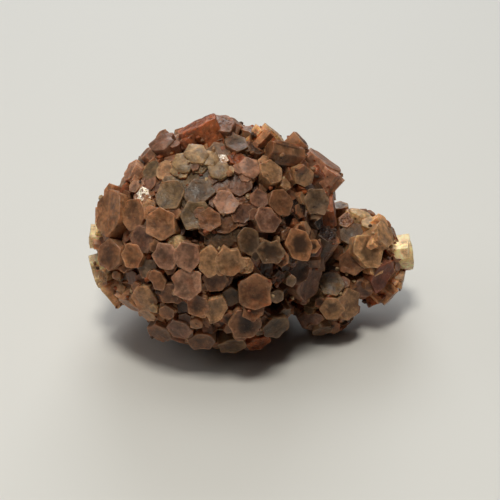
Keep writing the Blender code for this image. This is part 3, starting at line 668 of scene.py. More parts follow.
    def ground(self, crust: "Crust") -> list[Placed]:
        """Small crystals that cover the ground between the placed ones.

        Args:
            crust: The ground.

        Returns:
            The small crystals.
        """
        rng = random.Random(self.companion_seed + 2)
        small: list[Placed] = []
        for ball in BALLS:
            for out, _ in self.spiral(replace(ball, spacing=3.15)):
                radii = ball.radii * crust.share_at(ball, out)
                rise = rng.uniform(0.1, 1.1)
                seen = SIGHT.in_space(*[ball.centre[i] + out[i] * radii[i] for i in range(3)])
                centre = seen + SIGHT.in_space(*out) * (rise - crust.sunk(seen))
                if self.buried(centre, 0.9):
                    continue
                sway = Vector([rng.gauss(0.0, 0.24) for _ in range(3)])
                axis = (SIGHT.in_space(*out) + sway).normalized()
                across, along = own_axes(axis, rng.uniform(0.0, math.tau))
                width = rng.uniform(1.5, 3.7)
                tint = rng.choice((Tint.BROWN, Tint.BROWN, Tint.MAUVE, Tint.SMOKE, Tint.UMBER, Tint.TAN,
                                   Tint.RUST))
                # Painted shade: ground crystals in the open places get umber and near-black tints.
                if crust.sunk(seen) > 0.3:
                    tint = rng.choice((Tint.UMBER, Tint.PAINTED_SHADE, Tint.PAINTED_SHADE))
                looks = Crystal(0.0, 0.0, width, tint, core=0.2, rim=0.6, stain=rng.uniform(0.2, 1.0))
                small.append(Placed(centre, across, along, axis, width, 1.0, 3.4, 20000 + len(small), looks))
        return small

    def grains(self) -> list[tuple[Vector, float, Tint]]:
        """Places, radii and tints of the grains that cling to the crystals' flanks."""
        rng = random.Random(self.companion_seed + 1)
        made = []
        for item in self.placed:
            for _ in range(rng.choice((1, 2, 3, 4)) + (4 if item.looks.stain > 0.5 else 0)):
                heading = rng.uniform(0.0, math.tau)
                way = item.across * math.cos(heading) + item.along * (item.tall * math.sin(heading))
                sunk = rng.uniform(0.1, 2.4)
                place = item.centre + way * (0.5 * item.width * 0.97) - item.axis * sunk
                tint = rng.choice((Tint.RUST, Tint.RUST, Tint.UMBER, Tint.ORANGE, Tint.TAN, Tint.HONEY))
                radius = rng.uniform(0.18, 0.56)
                if not self.buried(place, 0.3):
                    made.append((place, radius, tint))
        return made

    def corner_points(self, item: Placed) -> Iterator[Vector]:
        """The twelve corners of the plain prism that stands for a crystal in the solid."""
        shape = self.corners(item)
        for depth, taper in ((0.0, 1.0), (-item.length, self.foot_taper)):
            for k, (share, twist) in enumerate(shape):
                angle = k * math.tau / self.sides + twist
                reach = 0.5 * item.width * share * taper
                yield (item.centre + item.across * (reach * math.cos(angle))
                       + item.along * (reach * math.sin(angle) * item.tall) + item.axis * depth)

    def shift(self) -> Vector:
        """What moves the layout so that its box stands on Z = 0 and is centred on the Z axis."""
        points = [point for item in self.placed for point in self.corner_points(item)]
        low = [min(point[i] for point in points) for i in range(3)]
        high = [max(point[i] for point in points) for i in range(3)]
        return Vector((-(low[0] + high[0]) / 2.0, -(low[1] + high[1]) / 2.0, -low[2]))


@dataclass
class CrystalShape:
    """Grows one crystal: a rounded hexagon carried down in bands, with a worked end face."""

    bands: int = 2
    band_swell: float = 0.012
    round_corners: float = 0.085
    wobble: float = 0.11
    warp: float = 0.30
    facet_scale: float = 2.7
    plain: bool = False
    # Depth added to what the colour reads: it darkens the whole crystal with rust and painted shade.
    shade_and_rust_depth: float = 0.0

    def outline(self, work: bmesh.types.BMesh, item: Placed, layout: Layout, rng: random.Random) -> None:
        """Draws the end face as one polygon of unit half-width.

        Args:
            work: The empty mesh to draw in.
            item: The crystal.
            layout: What gives its corners.
            rng: What its small flaws are drawn from.
        """
        bmesh.ops.create_circle(work, cap_ends=True, segments=layout.sides, radius=1.0)
        shape = layout.corners(item)
        for vert in work.verts:
            angle = math.atan2(vert.co.y, vert.co.x) % math.tau
            share, twist = shape[round(angle / math.tau * layout.sides) % layout.sides]
            vert.co = Vector((share * math.cos(angle + twist), share * math.sin(angle + twist), 0.0))
        if self.plain:
            return
        edges = list(work.edges)
        bite = item.looks.notch or rng.choice((0.0, 0.0, 0.12, 0.18))
        notched = {rng.randrange(len(edges))} if bite else set()
        middles = []
        for index, edge in enumerate(edges):
            made = bmesh.ops.bisect_edges(work, edges=[edge], cuts=1)
            middle = next(g for g in made["geom_split"] if isinstance(g, bmesh.types.BMVert))
            middle.co *= 1.0 - (bite if index in notched else rng.uniform(-0.05, 0.04))
            middles.append(middle)
        corners = [vert for vert in work.verts if vert not in middles]
        if not self.round_corners:
            return
        bmesh.ops.bevel(work, geom=corners, offset=self.round_corners * rng.uniform(0.6, 1.35),
                        offset_type="OFFSET", segments=1, profile=0.5, affect="VERTICES", material=-1)

    def column(self, work: bmesh.types.BMesh, item: Placed, layout: Layout, rng: random.Random) -> None:
        """Carries the outline down to the crystal's foot in bands that swell and shrink a little.

        Args:
            work: The mesh, which holds the end face.
            item: The crystal.
            layout: What gives the taper of its foot.
            rng: What the bands are drawn from.
        """
        depth_layer = work.verts.layers.float.get("depth")
        made = bmesh.ops.extrude_face_region(work, geom=list(work.faces))
        foot = next(g for g in made["geom"] if isinstance(g, bmesh.types.BMFace))
        striped = 1.6 if item.looks.clear else 1.0
        depths = [item.length * ((k + 1) / self.bands) ** 1.6 for k in range(self.bands)]
        swell, last = 1.0, 0.0
        for k, depth in enumerate(depths):
            if k:
                made = bmesh.ops.extrude_discrete_faces(work, faces=[foot])
                foot = made["faces"][0]
            taper = 1.0 + (layout.foot_taper - 1.0) * depth / item.length
            target = taper * (1.0 + rng.uniform(-1.0, 0.4) * self.band_swell * striped)
            for vert in foot.verts:
                vert.co.x *= target / swell
                vert.co.y *= target / swell
                vert.co.z -= depth - last
                vert[depth_layer] = depth
            swell, last = target, depth
        bmesh.ops.recalc_face_normals(work, faces=work.faces)

    @staticmethod
    def ring(work: bmesh.types.BMesh, cap: bmesh.types.BMFace, reach: tuple[float, float], half: float,
             rise: float, slip: Optional[Vector] = None) -> bmesh.types.BMFace:
        """Carries the end face inwards by one ring.

        Args:
            work: The mesh.
            cap: The end face.
            reach: How far from the axis it reaches before and after, as shares of the whole.
            half: Half the crystal's width, in mm.
            rise: How far the new face stands above the old one, in mm.
            slip: How far it lies to the side.

        Returns:
            The new end face.
        """
        rim_layer = work.verts.layers.float.get("rim")
        cap = bmesh.ops.extrude_discrete_faces(work, faces=[cap])["faces"][0]
        for vert in cap.verts:
            vert.co.x *= reach[1] / reach[0]
            vert.co.y *= reach[1] / reach[0]
            vert.co.z += rise
            vert[rim_layer] = half * (1.0 - reach[1])
            if slip is not None:
                vert.co += slip
        return cap

    def end_face(self, work: bmesh.types.BMesh, item: Placed, rng: random.Random) -> None:
        """Works the end face: a worn edge, then dishing, growth steps, a dome, a break or a druse.

        Args:
            work: The mesh.
            item: The crystal.
            rng: What the relief is drawn from.
        """
        half = 0.5 * item.width * min(1.0, item.tall)
        cap = max(work.faces, key=lambda face: face.calc_center_median().z)
        cap = self.ring(work, cap, (1.0, 0.965), half, 0.03 * half)
        if self.plain:
            return
        end = item.looks.end
        if end in (End.FLAT, End.DISHED):
            dish = 0.034 if end is End.DISHED else 0.010
            rings = ((0.80, -0.6), (0.42, -2.0))
            rings = tuple((reach, rise * dish * half, None) for reach, rise in rings)
        elif end is End.STEPPED:
            rings = ()
            for reach in (0.66,):
                slip = Vector((rng.uniform(-0.16, 0.16), rng.uniform(-0.16, 0.16), 0.0)) * half
                rings += ((reach, 0.0, slip), (reach - 0.07, rng.choice((-1.0, 1.0)) * 0.025 * half, None))
        else:
            lift = half if end is End.DOMED else 0.0
            rings = ((0.80, 0.06 * lift, None), (0.58, 0.05 * lift, None), (0.34, 0.03 * lift, None))
        if not self.round_corners:
            rings = ((0.62, 0.06 * half * (end is End.DOMED), None),)
        before = 0.965
        for reach, rise, slip in rings:
            cap = self.ring(work, cap, (before, reach), half, rise, slip)
            before = reach
        made = bmesh.ops.poke(work, faces=[cap])
        rim_layer = work.verts.layers.float.get("rim")
        for vert in made["verts"]:
            vert[rim_layer] = half
            vert.co.z += rng.uniform(-0.02, 0.02) * half
        if end in (End.DRUSY, End.ROUGH):
            self.roughen(work, item, rng, 0.10 if end is End.DRUSY else 0.10)

    def roughen(self, work: bmesh.types.BMesh, item: Placed, rng: random.Random, height: float) -> None:
        """Breaks the end face up into small facets.

        Args:
            work: The mesh.
            item: The crystal.
            rng: What the facets are drawn from.
            height: How far they stand above and below each other, in mm.
        """
        rim_layer = work.verts.layers.float.get("rim")
        upper = [face for face in work.faces if face.normal.z > 0.5]
        edges = list(dict.fromkeys(edge for face in upper for edge in face.edges))
        bmesh.ops.subdivide_edges(work, edges=edges, cuts=2 if item.looks.end is End.DRUSY else 1,
                                  use_grid_fill=True)
        bmesh.ops.triangulate(work, faces=[face for face in work.faces if face.normal.z > 0.5])
        offset = Vector((rng.uniform(0.0, 90.0), rng.uniform(0.0, 90.0), rng.uniform(0.0, 90.0)))
        for vert in work.verts:
            if vert.normal.z > 0.6 and vert[rim_layer] > 0.02 * item.width:
                step = noise.noise_vector(vert.co * self.facet_scale + offset) * height
                vert.co += Vector((step.x, step.y, 2.0 * step.z))

    def grow(self, item: Placed, layout: Layout, slot: Slot) -> bpy.types.Mesh:
        """Makes one crystal as a closed mesh in place.

        Args:
            item: The crystal.
            layout: What gives its corners and its taper.
            slot: The material slot of its faces.

        Returns:
            The mesh, with its growth, tint and habit stored on it.
        """
        rng = random.Random(7000 + item.seed)
        work = bmesh.new()
        work.verts.layers.float.new("rim")
        depth_layer = work.verts.layers.float.new("depth")
        rim_layer = work.verts.layers.float.get("rim")
        self.outline(work, item, layout, rng)
        half = 0.5 * item.width
        for vert in work.verts:
            vert.co.x *= half
            vert.co.y *= half * item.tall
        self.column(work, item, layout, rng)
        self.end_face(work, item, rng)
        top = max(vert.co.z for vert in work.verts)
        growth = work.loops.layers.float_vector.new("growth")
        tint_layer = work.faces.layers.float_color.new("tint")
        habit_layer = work.faces.layers.float_color.new("habit")
        # Clear crystals get a tint raised 1.95 times: their paler colour and a painted glow of light passing
        # through them.
        tone_and_glow = (1.95 if item.looks.clear else 1.0) * (1.0 + rng.uniform(-0.12, 0.12))
        tint = [channel * tone_and_glow for channel in item.looks.tint.value] + [1.0]
        looks = item.looks
        # Some upward facets of a druse get the near-white tint: painted glints.
        painted_glints = looks.end is End.DRUSY
        # Lying and clear crystals read a third of their depth, so their shown sides get less rust and painted
        # shade.
        less_shade_and_rust = looks.clear or (looks.lean or 0.0) > 60.0
        for face in work.faces:
            face.material_index = slot.value
            middle = face.calc_center_median() + Vector((item.seed, 0.0, 0.0))
            pale = (painted_glints and face.normal.z > 0.3 and noise.noise(middle * 0.8) > 0.0
                    and noise.noise(middle * 3.1) > 0.5 - looks.rim)
            face[tint_layer] = (*Tint.PAINTED_GLINT.value, 1.0) if pale else tint
            face[habit_layer] = (looks.core, looks.rim, looks.stain, 1.0)
            for loop in face.loops:
                depth = loop.vert[depth_layer] * (0.3 if less_shade_and_rust else 1.0) + self.shade_and_rust_depth
                loop[growth] = Vector((loop.vert[rim_layer], 0.5 * item.width, depth))
        basis = Matrix((item.across, item.along, item.axis)).transposed()
        for vert in work.verts:
            vert.co = item.centre + basis @ (vert.co - Vector((0.0, 0.0, top - looks.lift)))
            vert.co += noise.noise_vector(vert.co * 0.9) * self.wobble
            vert.co += noise.noise_vector(vert.co * 0.32) * self.warp
        mesh = bpy.data.meshes.new("crystal")
        work.to_mesh(mesh)
        work.free()
        return mesh


@dataclass
class Crust:
    """The rough, rust-stained ground that the crystals stand in, darkened nearly to black with painted shade."""

    relief: float = 0.45
    grain: float = 0.9
    front_share: float = 0.905
    far_share: float = 0.75
    pits: tuple[tuple[float, float, float, float], ...] = (
        (-3.0, -6.6, 4.0, 4.0), (7.6, -10.0, 7.0, 6.0), (16.0, -1.4, 6.0, 5.0), (-12.6, 3.2, 3.6, 4.0),
        (-7.6, 10.0, 2.0, 1.6), (-25.0, -4.0, 2.6, 1.8), (-18.0, -9.0, 2.4, 1.6), (0.0, 20.4, 2.2, 1.6),
        (5.0, -4.6, 4.6, 3.0), (12.0, -2.6, 4.4, 3.0), (6.8, -12.8, 4.0, 3.0), (14.4, 5.4, 3.4, 2.4),
    )

    def share_at(self, ball: Ball, out: Vector) -> float:
        """How much of a ball's radius the ground fills in a direction of the view."""
        if ball is not MAIN:
            return self.far_share
        near = max(0.0, min(1.0, (out.z - 0.20) / 0.40))
        return self.far_share + (self.front_share - self.far_share) * near * near * (3.0 - 2.0 * near)

    def sunk(self, point: Vector) -> float:
        """How far the ground lies deeper at a point of space, for the open places that the eye sees."""
        depth = point.dot(TOWARDS)
        if depth < 0.0:
            return 0.0
        shrink = 1.0 - depth / SIGHT.distance
        right, up = point.dot(SIGHT.right) / shrink, point.dot(UP) / shrink
        most = 0.0
        for x, y, radius, fall in self.pits:
            near = max(0.0, 1.0 - math.hypot(right - x, up - y) / radius)
            most = max(most, fall * near * near * (3.0 - 2.0 * near))
        return most

    def lump(self, ball: Ball, detail: int, seed: int) -> bpy.types.Mesh:
        """Makes the closed lump of crust in one ball.

        Args:
            ball: The ball.
            detail: How often its first twenty faces are split.
            seed: What its relief is drawn from.

        Returns:
            The mesh.
        """
        work = bmesh.new()
        bmesh.ops.create_icosphere(work, subdivisions=detail, radius=1.0)
        offset = Vector((seed * 3.7, seed * 1.3, seed * 2.1))
        centre = SIGHT.in_space(*ball.centre)
        for vert in work.verts:
            way = vert.co.normalized()
            radii = ball.radii * self.share_at(ball, way)
            at = SIGHT.in_space(*[way[i] * radii[i] for i in range(3)])
            rough = noise.fractal((at + offset) / self.grain, 0.8, 2.1, 3)
            broad = noise.noise((at + offset) / 5.0)
            lift = self.relief * rough + 0.5 * broad - self.sunk(centre + at)
            vert.co = centre + at + at.normalized() * lift
        # The depth 3.8 darkens the crust nearly to black with painted shade.
        self.mark(work, Tint.UMBER, 3.8)
        mesh = bpy.data.meshes.new("crust")
        work.to_mesh(mesh)
        work.free()
        return mesh

    def cores(self) -> list[bpy.types.Mesh]:
        """The ground of each ball."""
        return [self.lump(ball, 5, index) for index, ball in enumerate(BALLS)]

    def grain_meshes(self, layout: Layout) -> list[bpy.types.Mesh]:
        """Small angular grains on the crystals' flanks.

        Args:
            layout: What gives their places.

        Returns:
            One closed mesh for each grain.
        """
        rng = random.Random(5)
        meshes = []
        for place, radius, tint in layout.grains():
            work = bmesh.new()
            bmesh.ops.create_icosphere(work, subdivisions=1, radius=radius)
            stretch = [rng.uniform(0.7, 1.5) for _ in range(3)]
            for vert in work.verts:
                vert.co = place + Vector([vert.co[i] * stretch[i] * rng.uniform(0.8, 1.2) for i in range(3)])
            self.mark(work, tint, 0.8)
            meshes.append(bpy.data.meshes.new("grain"))
            work.to_mesh(meshes[-1])
            work.free()
        return meshes

    @staticmethod
    def mark(work: bmesh.types.BMesh, tint: Tint, depth: float) -> None:
        """Stores on a piece of crust what the crystals store on theirs; its depth sets how much rust and painted
        shade darken it.
        """
        growth = work.loops.layers.float_vector.new("growth")
        tint_layer = work.faces.layers.float_color.new("tint")
        habit_layer = work.faces.layers.float_color.new("habit")
        for face in work.faces:
            face.material_index = Slot.CRUST.value
            face[tint_layer] = (*tint.value, 1.0)
            face[habit_layer] = (0.0, 0.0, 0.6, 1.0)
            for loop in face.loops:
                loop[growth] = Vector((1.0, 2.5, depth))


@dataclass
class ZoningAndPaintedLight:
    """Node group: darker cores, banded sides and rust, with a painted glow at the rims and painted shade deep on
    the flanks and in pits, from where on its crystal a point is.
    """

    name: str = "zones and painted light"

    def build(self) -> bpy.types.NodeTree:
        """Makes the group.

        Returns:
            The group, with the inputs Tint, Growth and Habit and the outputs Color, Roughness and Height.
        """
        group = bpy.data.node_groups.new(self.name, "ShaderNodeTree")
        for label, kind in (("Tint", "NodeSocketColor"), ("Growth", "NodeSocketVector"),
                            ("Habit", "NodeSocketColor")):
            group.interface.new_socket(name=label, in_out="INPUT", socket_type=kind)
        for label, kind in (("Color", "NodeSocketColor"), ("Roughness", "NodeSocketFloat"),
                            ("Height", "NodeSocketFloat")):
            group.interface.new_socket(name=label, in_out="OUTPUT", socket_type=kind)
        wires = Wires(group)
        source = wires.node("NodeGroupInput")
        sink = wires.node("NodeGroupOutput")
        place = wires.node("ShaderNodeTexCoord").outputs["Object"]
        growth = wires.node("ShaderNodeSeparateXYZ", {0: source.outputs["Growth"]}).outputs
        habit = wires.node("ShaderNodeSeparateColor", {0: source.outputs["Habit"]}).outputs
        rim_mm, half_mm, depth_mm = growth[0], growth[1], growth[2]

        broad = wires.noise(place, 330.0, 3.0)
        fine = wires.noise(place, 1500.0, 4.0)
        grit = wires.noise(place, 4200.0, 2.0)

        # The pale rim is a painted glow of light leaving the crystal near its edge; its width wanders, and a thin
        # line runs along the very edge.
        wander = wires.math("MULTIPLY_ADD", broad, 2.4, -1.2)
        rim_at = wires.math("ADD", rim_mm, wander)
        rim_share = wires.math("DIVIDE", rim_at, half_mm)
        rim_glow_mask = wires.ramp(rim_share, 0.02, 0.22, 0.6, 0.0)
        edge_glow_line = wires.ramp(wires.math("MULTIPLY_ADD", fine, 0.3, rim_mm), 0.16, 0.46, 0.8, 0.0)
        rim_glow_mask = wires.math("MAXIMUM", rim_glow_mask, edge_glow_line)
        core_mask = wires.ramp(rim_share, 0.24, 0.66, 0.0, 1.0)

        colour = source.outputs["Tint"]
        mottle = wires.ramp(wires.noise(place, 560.0, 5.0, 0.66), 0.34, 0.66, 0.56, 1.40)
        colour = wires.scale(colour, mottle)
        colour = wires.scale(colour, wires.ramp(fine, 0.32, 0.70, 0.80, 1.18))
        dark = wires.mix(colour, (0.016, 0.007, 0.004, 1.0), 0.88)
        weight = wires.math("MULTIPLY", habit[0], wires.ramp(habit[0], 0.3, 1.0, 0.55, 1.0))
        colour = wires.mix(colour, dark, wires.math("MULTIPLY", core_mask, weight))
        # Painted glow: a paler copy of the colour at the rim, as strong as the crystal's rim setting.
        pale = wires.mix(wires.scale(colour, 1.45), (0.62, 0.41, 0.26, 1.0), 0.24)
        colour = wires.mix(colour, pale, wires.math("MULTIPLY", rim_glow_mask, habit[1]))

        stripes = wires.node("ShaderNodeTexNoise", {"Scale": 1.0, "Detail": 3.0})
        stripes.noise_dimensions = "1D"
        stretch = wires.math("MULTIPLY_ADD", depth_mm, 2.6, wires.math("MULTIPLY", half_mm, 13.7))
        wires.join(wires.math("ADD", stretch, wires.math("MULTIPLY", fine, 0.5)), stripes.inputs["W"])
        on_side = wires.ramp(depth_mm, 0.05, 0.25, 0.0, 1.0)
        band = wires.ramp(stripes.outputs[0], 0.32, 0.68, 0.90, 1.10)
        band = wires.math("MULTIPLY_ADD", wires.math("SUBTRACT", band, 1.0), on_side, 1.0)
        colour = wires.scale(colour, band)

        # Deep down a crystal's flank the colour turns rusty, partly rust in the hollows and partly painted shade.
        deep = wires.ramp(depth_mm, 0.5, 3.0, 0.0, 1.0)
        painted_depth_shade = wires.ramp(depth_mm, 1.6, 4.6, 0.0, 1.0)
        rusty = wires.mix((0.32, 0.085, 0.022, 1.0), (0.030, 0.012, 0.006, 1.0),
                          wires.ramp(wires.noise(place, 480.0, 4.0, 0.6), 0.40, 0.60, 0.0, 1.0))
        patches = wires.ramp(wires.noise(place, 210.0, 5.0, 0.66), 0.50, 0.64, 0.0, 1.0)
        stain = wires.math("MULTIPLY", patches, habit[2])
        stain = wires.math("MAXIMUM", stain, wires.math("MULTIPLY", deep, 0.6))
        colour = wires.mix(colour, rusty, wires.math("MULTIPLY", stain, 0.85))
        # Painted shade: near black deeper still, between the crystals.
        colour = wires.mix(colour, (0.020, 0.009, 0.005, 1.0), wires.math("MULTIPLY", painted_depth_shade, 0.8))

        flecks = wires.ramp(wires.noise(place, 1500.0, 4.0, 0.62), 0.64, 0.74, 0.0, 1.0)
        chips = wires.math("MULTIPLY", flecks, wires.ramp(rim_share, 0.0, 0.9, 0.85, 0.25))
        colour = wires.mix(colour, (0.55, 0.40, 0.27, 1.0), wires.math("MULTIPLY", chips, 0.6))
        # Small pits: dents in the height, with painted shade inside them.
        pits = wires.ramp(wires.noise(place, 1300.0, 2.0, 0.4), 0.70, 0.76, 0.0, 1.0)
        colour = wires.mix(colour, (0.045, 0.020, 0.012, 1.0), wires.math("MULTIPLY", pits, 0.65))

        wires.join(colour, sink.inputs["Color"])
        wires.join(wires.ramp(fine, 0.3, 0.7, 0.30, 0.58), sink.inputs["Roughness"])
        height = wires.math("MULTIPLY_ADD", grit, 0.35, fine)
        height = wires.math("MULTIPLY_ADD", wires.math("MULTIPLY", stripes.outputs[0], on_side), 0.7, height)
        height = wires.math("MULTIPLY_ADD", pits, -0.8, height)
        wires.join(height, sink.inputs["Height"])
        return group


@dataclass
class Wires:
    """Short ways to add and join shader nodes in one tree."""

    tree: bpy.types.NodeTree

    def join(self, source: object, socket: bpy.types.NodeSocket) -> None:
        """Links a socket to another, or sets its value."""
        if isinstance(source, bpy.types.NodeSocket):
            self.tree.links.new(source, socket)
        else:
            socket.default_value = source

    def node(self, kind: str, inputs: Optional[dict] = None) -> bpy.types.Node:
        """Adds a node.

        Args:
            kind: Its type.
            inputs: What goes into its sockets, by name or number.

        Returns:
            The node.
        """
        made = self.tree.nodes.new(kind)
        for key, source in (inputs or {}).items():
            self.join(source, made.inputs[key])
        return made

    def math(self, operation: str, a: object, b: object = 0.0, c: object = 0.0) -> bpy.types.NodeSocket:
        """Adds a Math node and gives its result."""
        made = self.node("ShaderNodeMath", {0: a, 1: b, 2: c})
        made.operation = operation
        return made.outputs[0]

    def ramp(self, value: object, low: float, high: float, at_low: float, at_high: float) -> bpy.types.NodeSocket:
        """Maps a value smoothly from one range to another, held at both ends."""
        made = self.node("ShaderNodeMapRange", {0: value, 1: low, 2: high, 3: at_low, 4: at_high})
        made.interpolation_type = "SMOOTHSTEP"
        return made.outputs[0]

    def noise(self, place: object, scale: float, detail: float, rough: float = 0.5) -> bpy.types.NodeSocket:
        """Adds a noise texture and gives its value."""
        return self.node("ShaderNodeTexNoise", {"Vector": place, "Scale": scale, "Detail": detail,
                                                "Roughness": rough}).outputs[0]

    def mix(self, a: object, b: object, share: object) -> bpy.types.NodeSocket:
        """Mixes two colours."""
        made = self.node("ShaderNodeMix")
        made.data_type = "RGBA"
        self.join(share, made.inputs[0])
        self.join(a, made.inputs[6])
        self.join(b, made.inputs[7])
        return made.outputs[2]

    def scale(self, colour: object, amount: object) -> bpy.types.NodeSocket:
        """Multiplies a colour by a value."""
        made = self.node("ShaderNodeVectorMath")
        made.operation = "SCALE"
        self.join(colour, made.inputs[0])
        self.join(amount, made.inputs[3])
        return made.outputs[0]


@dataclass(frozen=True)
class CrystalFinish:
    """Aragonite: translucent, a little waxy, with light carried sideways under its surface."""

    name: str
    scatter: float = 0.60
    reach_mm: tuple[float, float, float] = (1.7, 0.9, 0.5)
    transmission: float = 0.0
    ior: float = 1.58
    absorption: tuple[float, float, float] = (0.80, 0.50, 0.25)
    density: float = 0.0
    bump_mm: float = 0.14
    gloss: float = 0.30
    coat: float = 0.0
    roughness: Optional[float] = None

    def build(self, zones_and_light: bpy.types.NodeTree) -> bpy.types.Material:
        """Makes the material.

        Args:
            zones_and_light: The node group that gives colour, roughness and height.

        Returns:
            The material.
        """
        material = bpy.data.materials.new(self.name)
        material.use_nodes = True
        wires = Wires(material.node_tree)
        shader = material.node_tree.nodes["Principled BSDF"]
        output = material.node_tree.nodes["Material Output"]
        zones = wires.node("ShaderNodeGroup")
        zones.node_tree = zones_and_light
        for label, socket in (("tint", "Color"), ("growth", "Vector"), ("habit", "Color")):
            read = wires.node("ShaderNodeAttribute")
            read.attribute_name = label
            wires.join(read.outputs[socket], zones.inputs[label.capitalize()])
        wires.join(zones.outputs["Color"], shader.inputs["Base Color"])
        wires.join(zones.outputs["Roughness"] if self.roughness is None else self.roughness,
                   shader.inputs["Roughness"])
        bump = wires.node("ShaderNodeBump", {"Height": zones.outputs["Height"], "Strength": 0.9,
                                             "Distance": self.bump_mm * MM})
        wires.join(bump.outputs["Normal"], shader.inputs["Normal"])
        shader.inputs["Subsurface Weight"].default_value = self.scatter
        shader.inputs["Subsurface Radius"].default_value = self.reach_mm
        shader.inputs["Subsurface Scale"].default_value = MM
        shader.inputs["Transmission Weight"].default_value = self.transmission
        shader.inputs["IOR"].default_value = self.ior
        shader.inputs["Specular IOR Level"].default_value = self.gloss
        shader.inputs["Coat Weight"].default_value = self.coat
        if self.density:
            volume = wires.node("ShaderNodeVolumeAbsorption", {"Color": (*self.absorption, 1.0),
                                                               "Density": self.density})
            wires.join(volume.outputs[0], output.inputs["Volume"])
        return material


@dataclass
class Specimen:
    """The whole cluster: crystals, small crystals in the grooves and crust, joined in one skin."""

    shape: CrystalShape = field(default_factory=CrystalShape)
    # The small crystals read deeper than they lie, which darkens them with rust and painted shade.
    small_shape: CrystalShape = field(default_factory=lambda: CrystalShape(bands=1, round_corners=0.0, shade_and_rust_depth=0.8))
    ground_shape: CrystalShape = field(default_factory=lambda: CrystalShape(bands=1, plain=True, shade_and_rust_depth=1.9))
    crust: Crust = field(default_factory=Crust)
    sharp_from: float = math.radians(28.0)
    noise_seed: int = 7

    def materials(self) -> list[bpy.types.Material]:
        """The finishes, in the order of Slot."""
        zones_and_light = ZoningAndPaintedLight().build()
        finishes = (
            CrystalFinish("brown aragonite"),
            CrystalFinish("honey aragonite", scatter=0.45, reach_mm=(3.2, 1.9, 0.9), transmission=0.3,
                          density=140.0),
            CrystalFinish("rusty crust", scatter=0.0, bump_mm=0.25, gloss=0.3),
            CrystalFinish("druse", scatter=0.2, gloss=0.9, coat=0.4, bump_mm=0.03, roughness=0.30),
        )
        return [finish.build(zones_and_light) for finish in finishes]

    def fuse(self, meshes: list[bpy.types.Mesh], materials: list[bpy.types.Material]) -> bpy.types.Mesh:
        """Joins closed meshes into one skin.

        Args:
            meshes: The meshes, of which the first is the body that the rest grow on.
            materials: The slots of the result.

        Returns:
            The mesh of the whole, with the pockets between crystals still in it.
        """
        parts = bpy.data.collections.new("fused_parts")
        bpy.context.scene.collection.children.link(parts)
        for mesh in meshes:
            for material in materials:
                mesh.materials.append(material)
        body = bpy.data.objects.new("body", meshes[0])
        bpy.context.scene.collection.objects.link(body)
        for mesh in meshes[1:]:
            parts.objects.link(bpy.data.objects.new("part", mesh))
        union = body.modifiers.new("grown_together", "BOOLEAN")
        union.operation = "UNION"
        union.operand_type = "COLLECTION"
        union.collection = parts
        union.solver = "MANIFOLD"
        bpy.context.view_layer.update()
        graph = bpy.context.evaluated_depsgraph_get()
        whole = bpy.data.meshes.new_from_object(body.evaluated_get(graph))
        for used in [body, *parts.objects]:
            bpy.data.objects.remove(used)
        bpy.data.collections.remove(parts)
        return whole

    @staticmethod
    def keep_outer_skin(work: bmesh.types.BMesh) -> None:
        """Deletes the skins of pockets sealed between crystals."""
        unseen = set(work.faces)
        skins = []
        while unseen:
            first = unseen.pop()
            skin, front = [first], [first]
            while front:
                face = front.pop()
                for edge in face.edges:
                    for other in edge.link_faces:
                        if other in unseen:
                            unseen.remove(other)
                            skin.append(other)
                            front.append(other)
            skins.append(skin)
        skins.sort(key=len, reverse=True)
        pockets = [face for skin in skins[1:] for face in skin]
        bmesh.ops.delete(work, geom=pockets, context="FACES")

    def build(self) -> bpy.types.Object:
        """Grows the cluster and dresses it.

        Returns:
            The finished object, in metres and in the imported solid's place.
        """
        noise.seed_set(self.noise_seed)
        layout = Layout()
        layout.fill()
        shift = layout.shift()
        layout.dress(self.crust)
        meshes = self.crust.cores()
        for item in layout.placed:
            slot = Slot.HONEY_CRYSTAL if item.looks.clear else Slot.BROWN_CRYSTAL
            if item.looks.end is End.DRUSY:
                slot = Slot.DRUSE
            meshes.append(self.shape.grow(item, layout, slot))
        small = layout.companions()
        meshes += [self.small_shape.grow(item, layout, Slot.BROWN_CRYSTAL) for item in small]
        ground = layout.ground(self.crust)
        meshes += [self.ground_shape.grow(item, layout, Slot.BROWN_CRYSTAL) for item in ground]
        meshes += self.crust.grain_meshes(layout)
        log.info("%d crystals, %d companions and %d on the ground", len(layout.placed), len(small),
                 len(ground))
        materials = self.materials()
        mesh = self.fuse(meshes, materials)
        work = bmesh.new()
        work.from_mesh(mesh)
        self.keep_outer_skin(work)
        bmesh.ops.translate(work, verts=work.verts, vec=shift)
        bmesh.ops.scale(work, verts=work.verts, vec=(MM, MM, MM))
        log.info("%d triangles", sum(len(face.verts) - 2 for face in work.faces))
        work.to_mesh(mesh)
        work.free()
        mesh.name = "aragonite_crystals"
        mesh.shade_smooth()
        mesh.set_sharp_from_angle(angle=self.sharp_from)
        specimen = bpy.data.objects.new("aragonite_crystals", mesh)
        bpy.context.scene.collection.objects.link(specimen)
        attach(specimen, "root")
        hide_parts(NODE)
        Studio(shift).build()
        return specimen


@dataclass(frozen=True)
class Lamp:
    """A square soft light."""

    name: str
    place: tuple[float, float, float]
    size: float
    power: float
    colour: tuple[float, float, float] = (1.0, 1.0, 1.0)

    def build(self, target: Vector) -> None:
        """Hangs the light and turns it to its target."""
        data = bpy.data.lights.new(self.name, "AREA")
        data.size = self.size
        data.energy = self.power
        data.color = self.colour
        lamp = bpy.data.objects.new(self.name, data)
        lamp.location = self.place
        lamp.rotation_euler = (target - Vector(self.place)).to_track_quat("-Z", "Y").to_euler()
        bpy.context.scene.collection.objects.link(lamp)


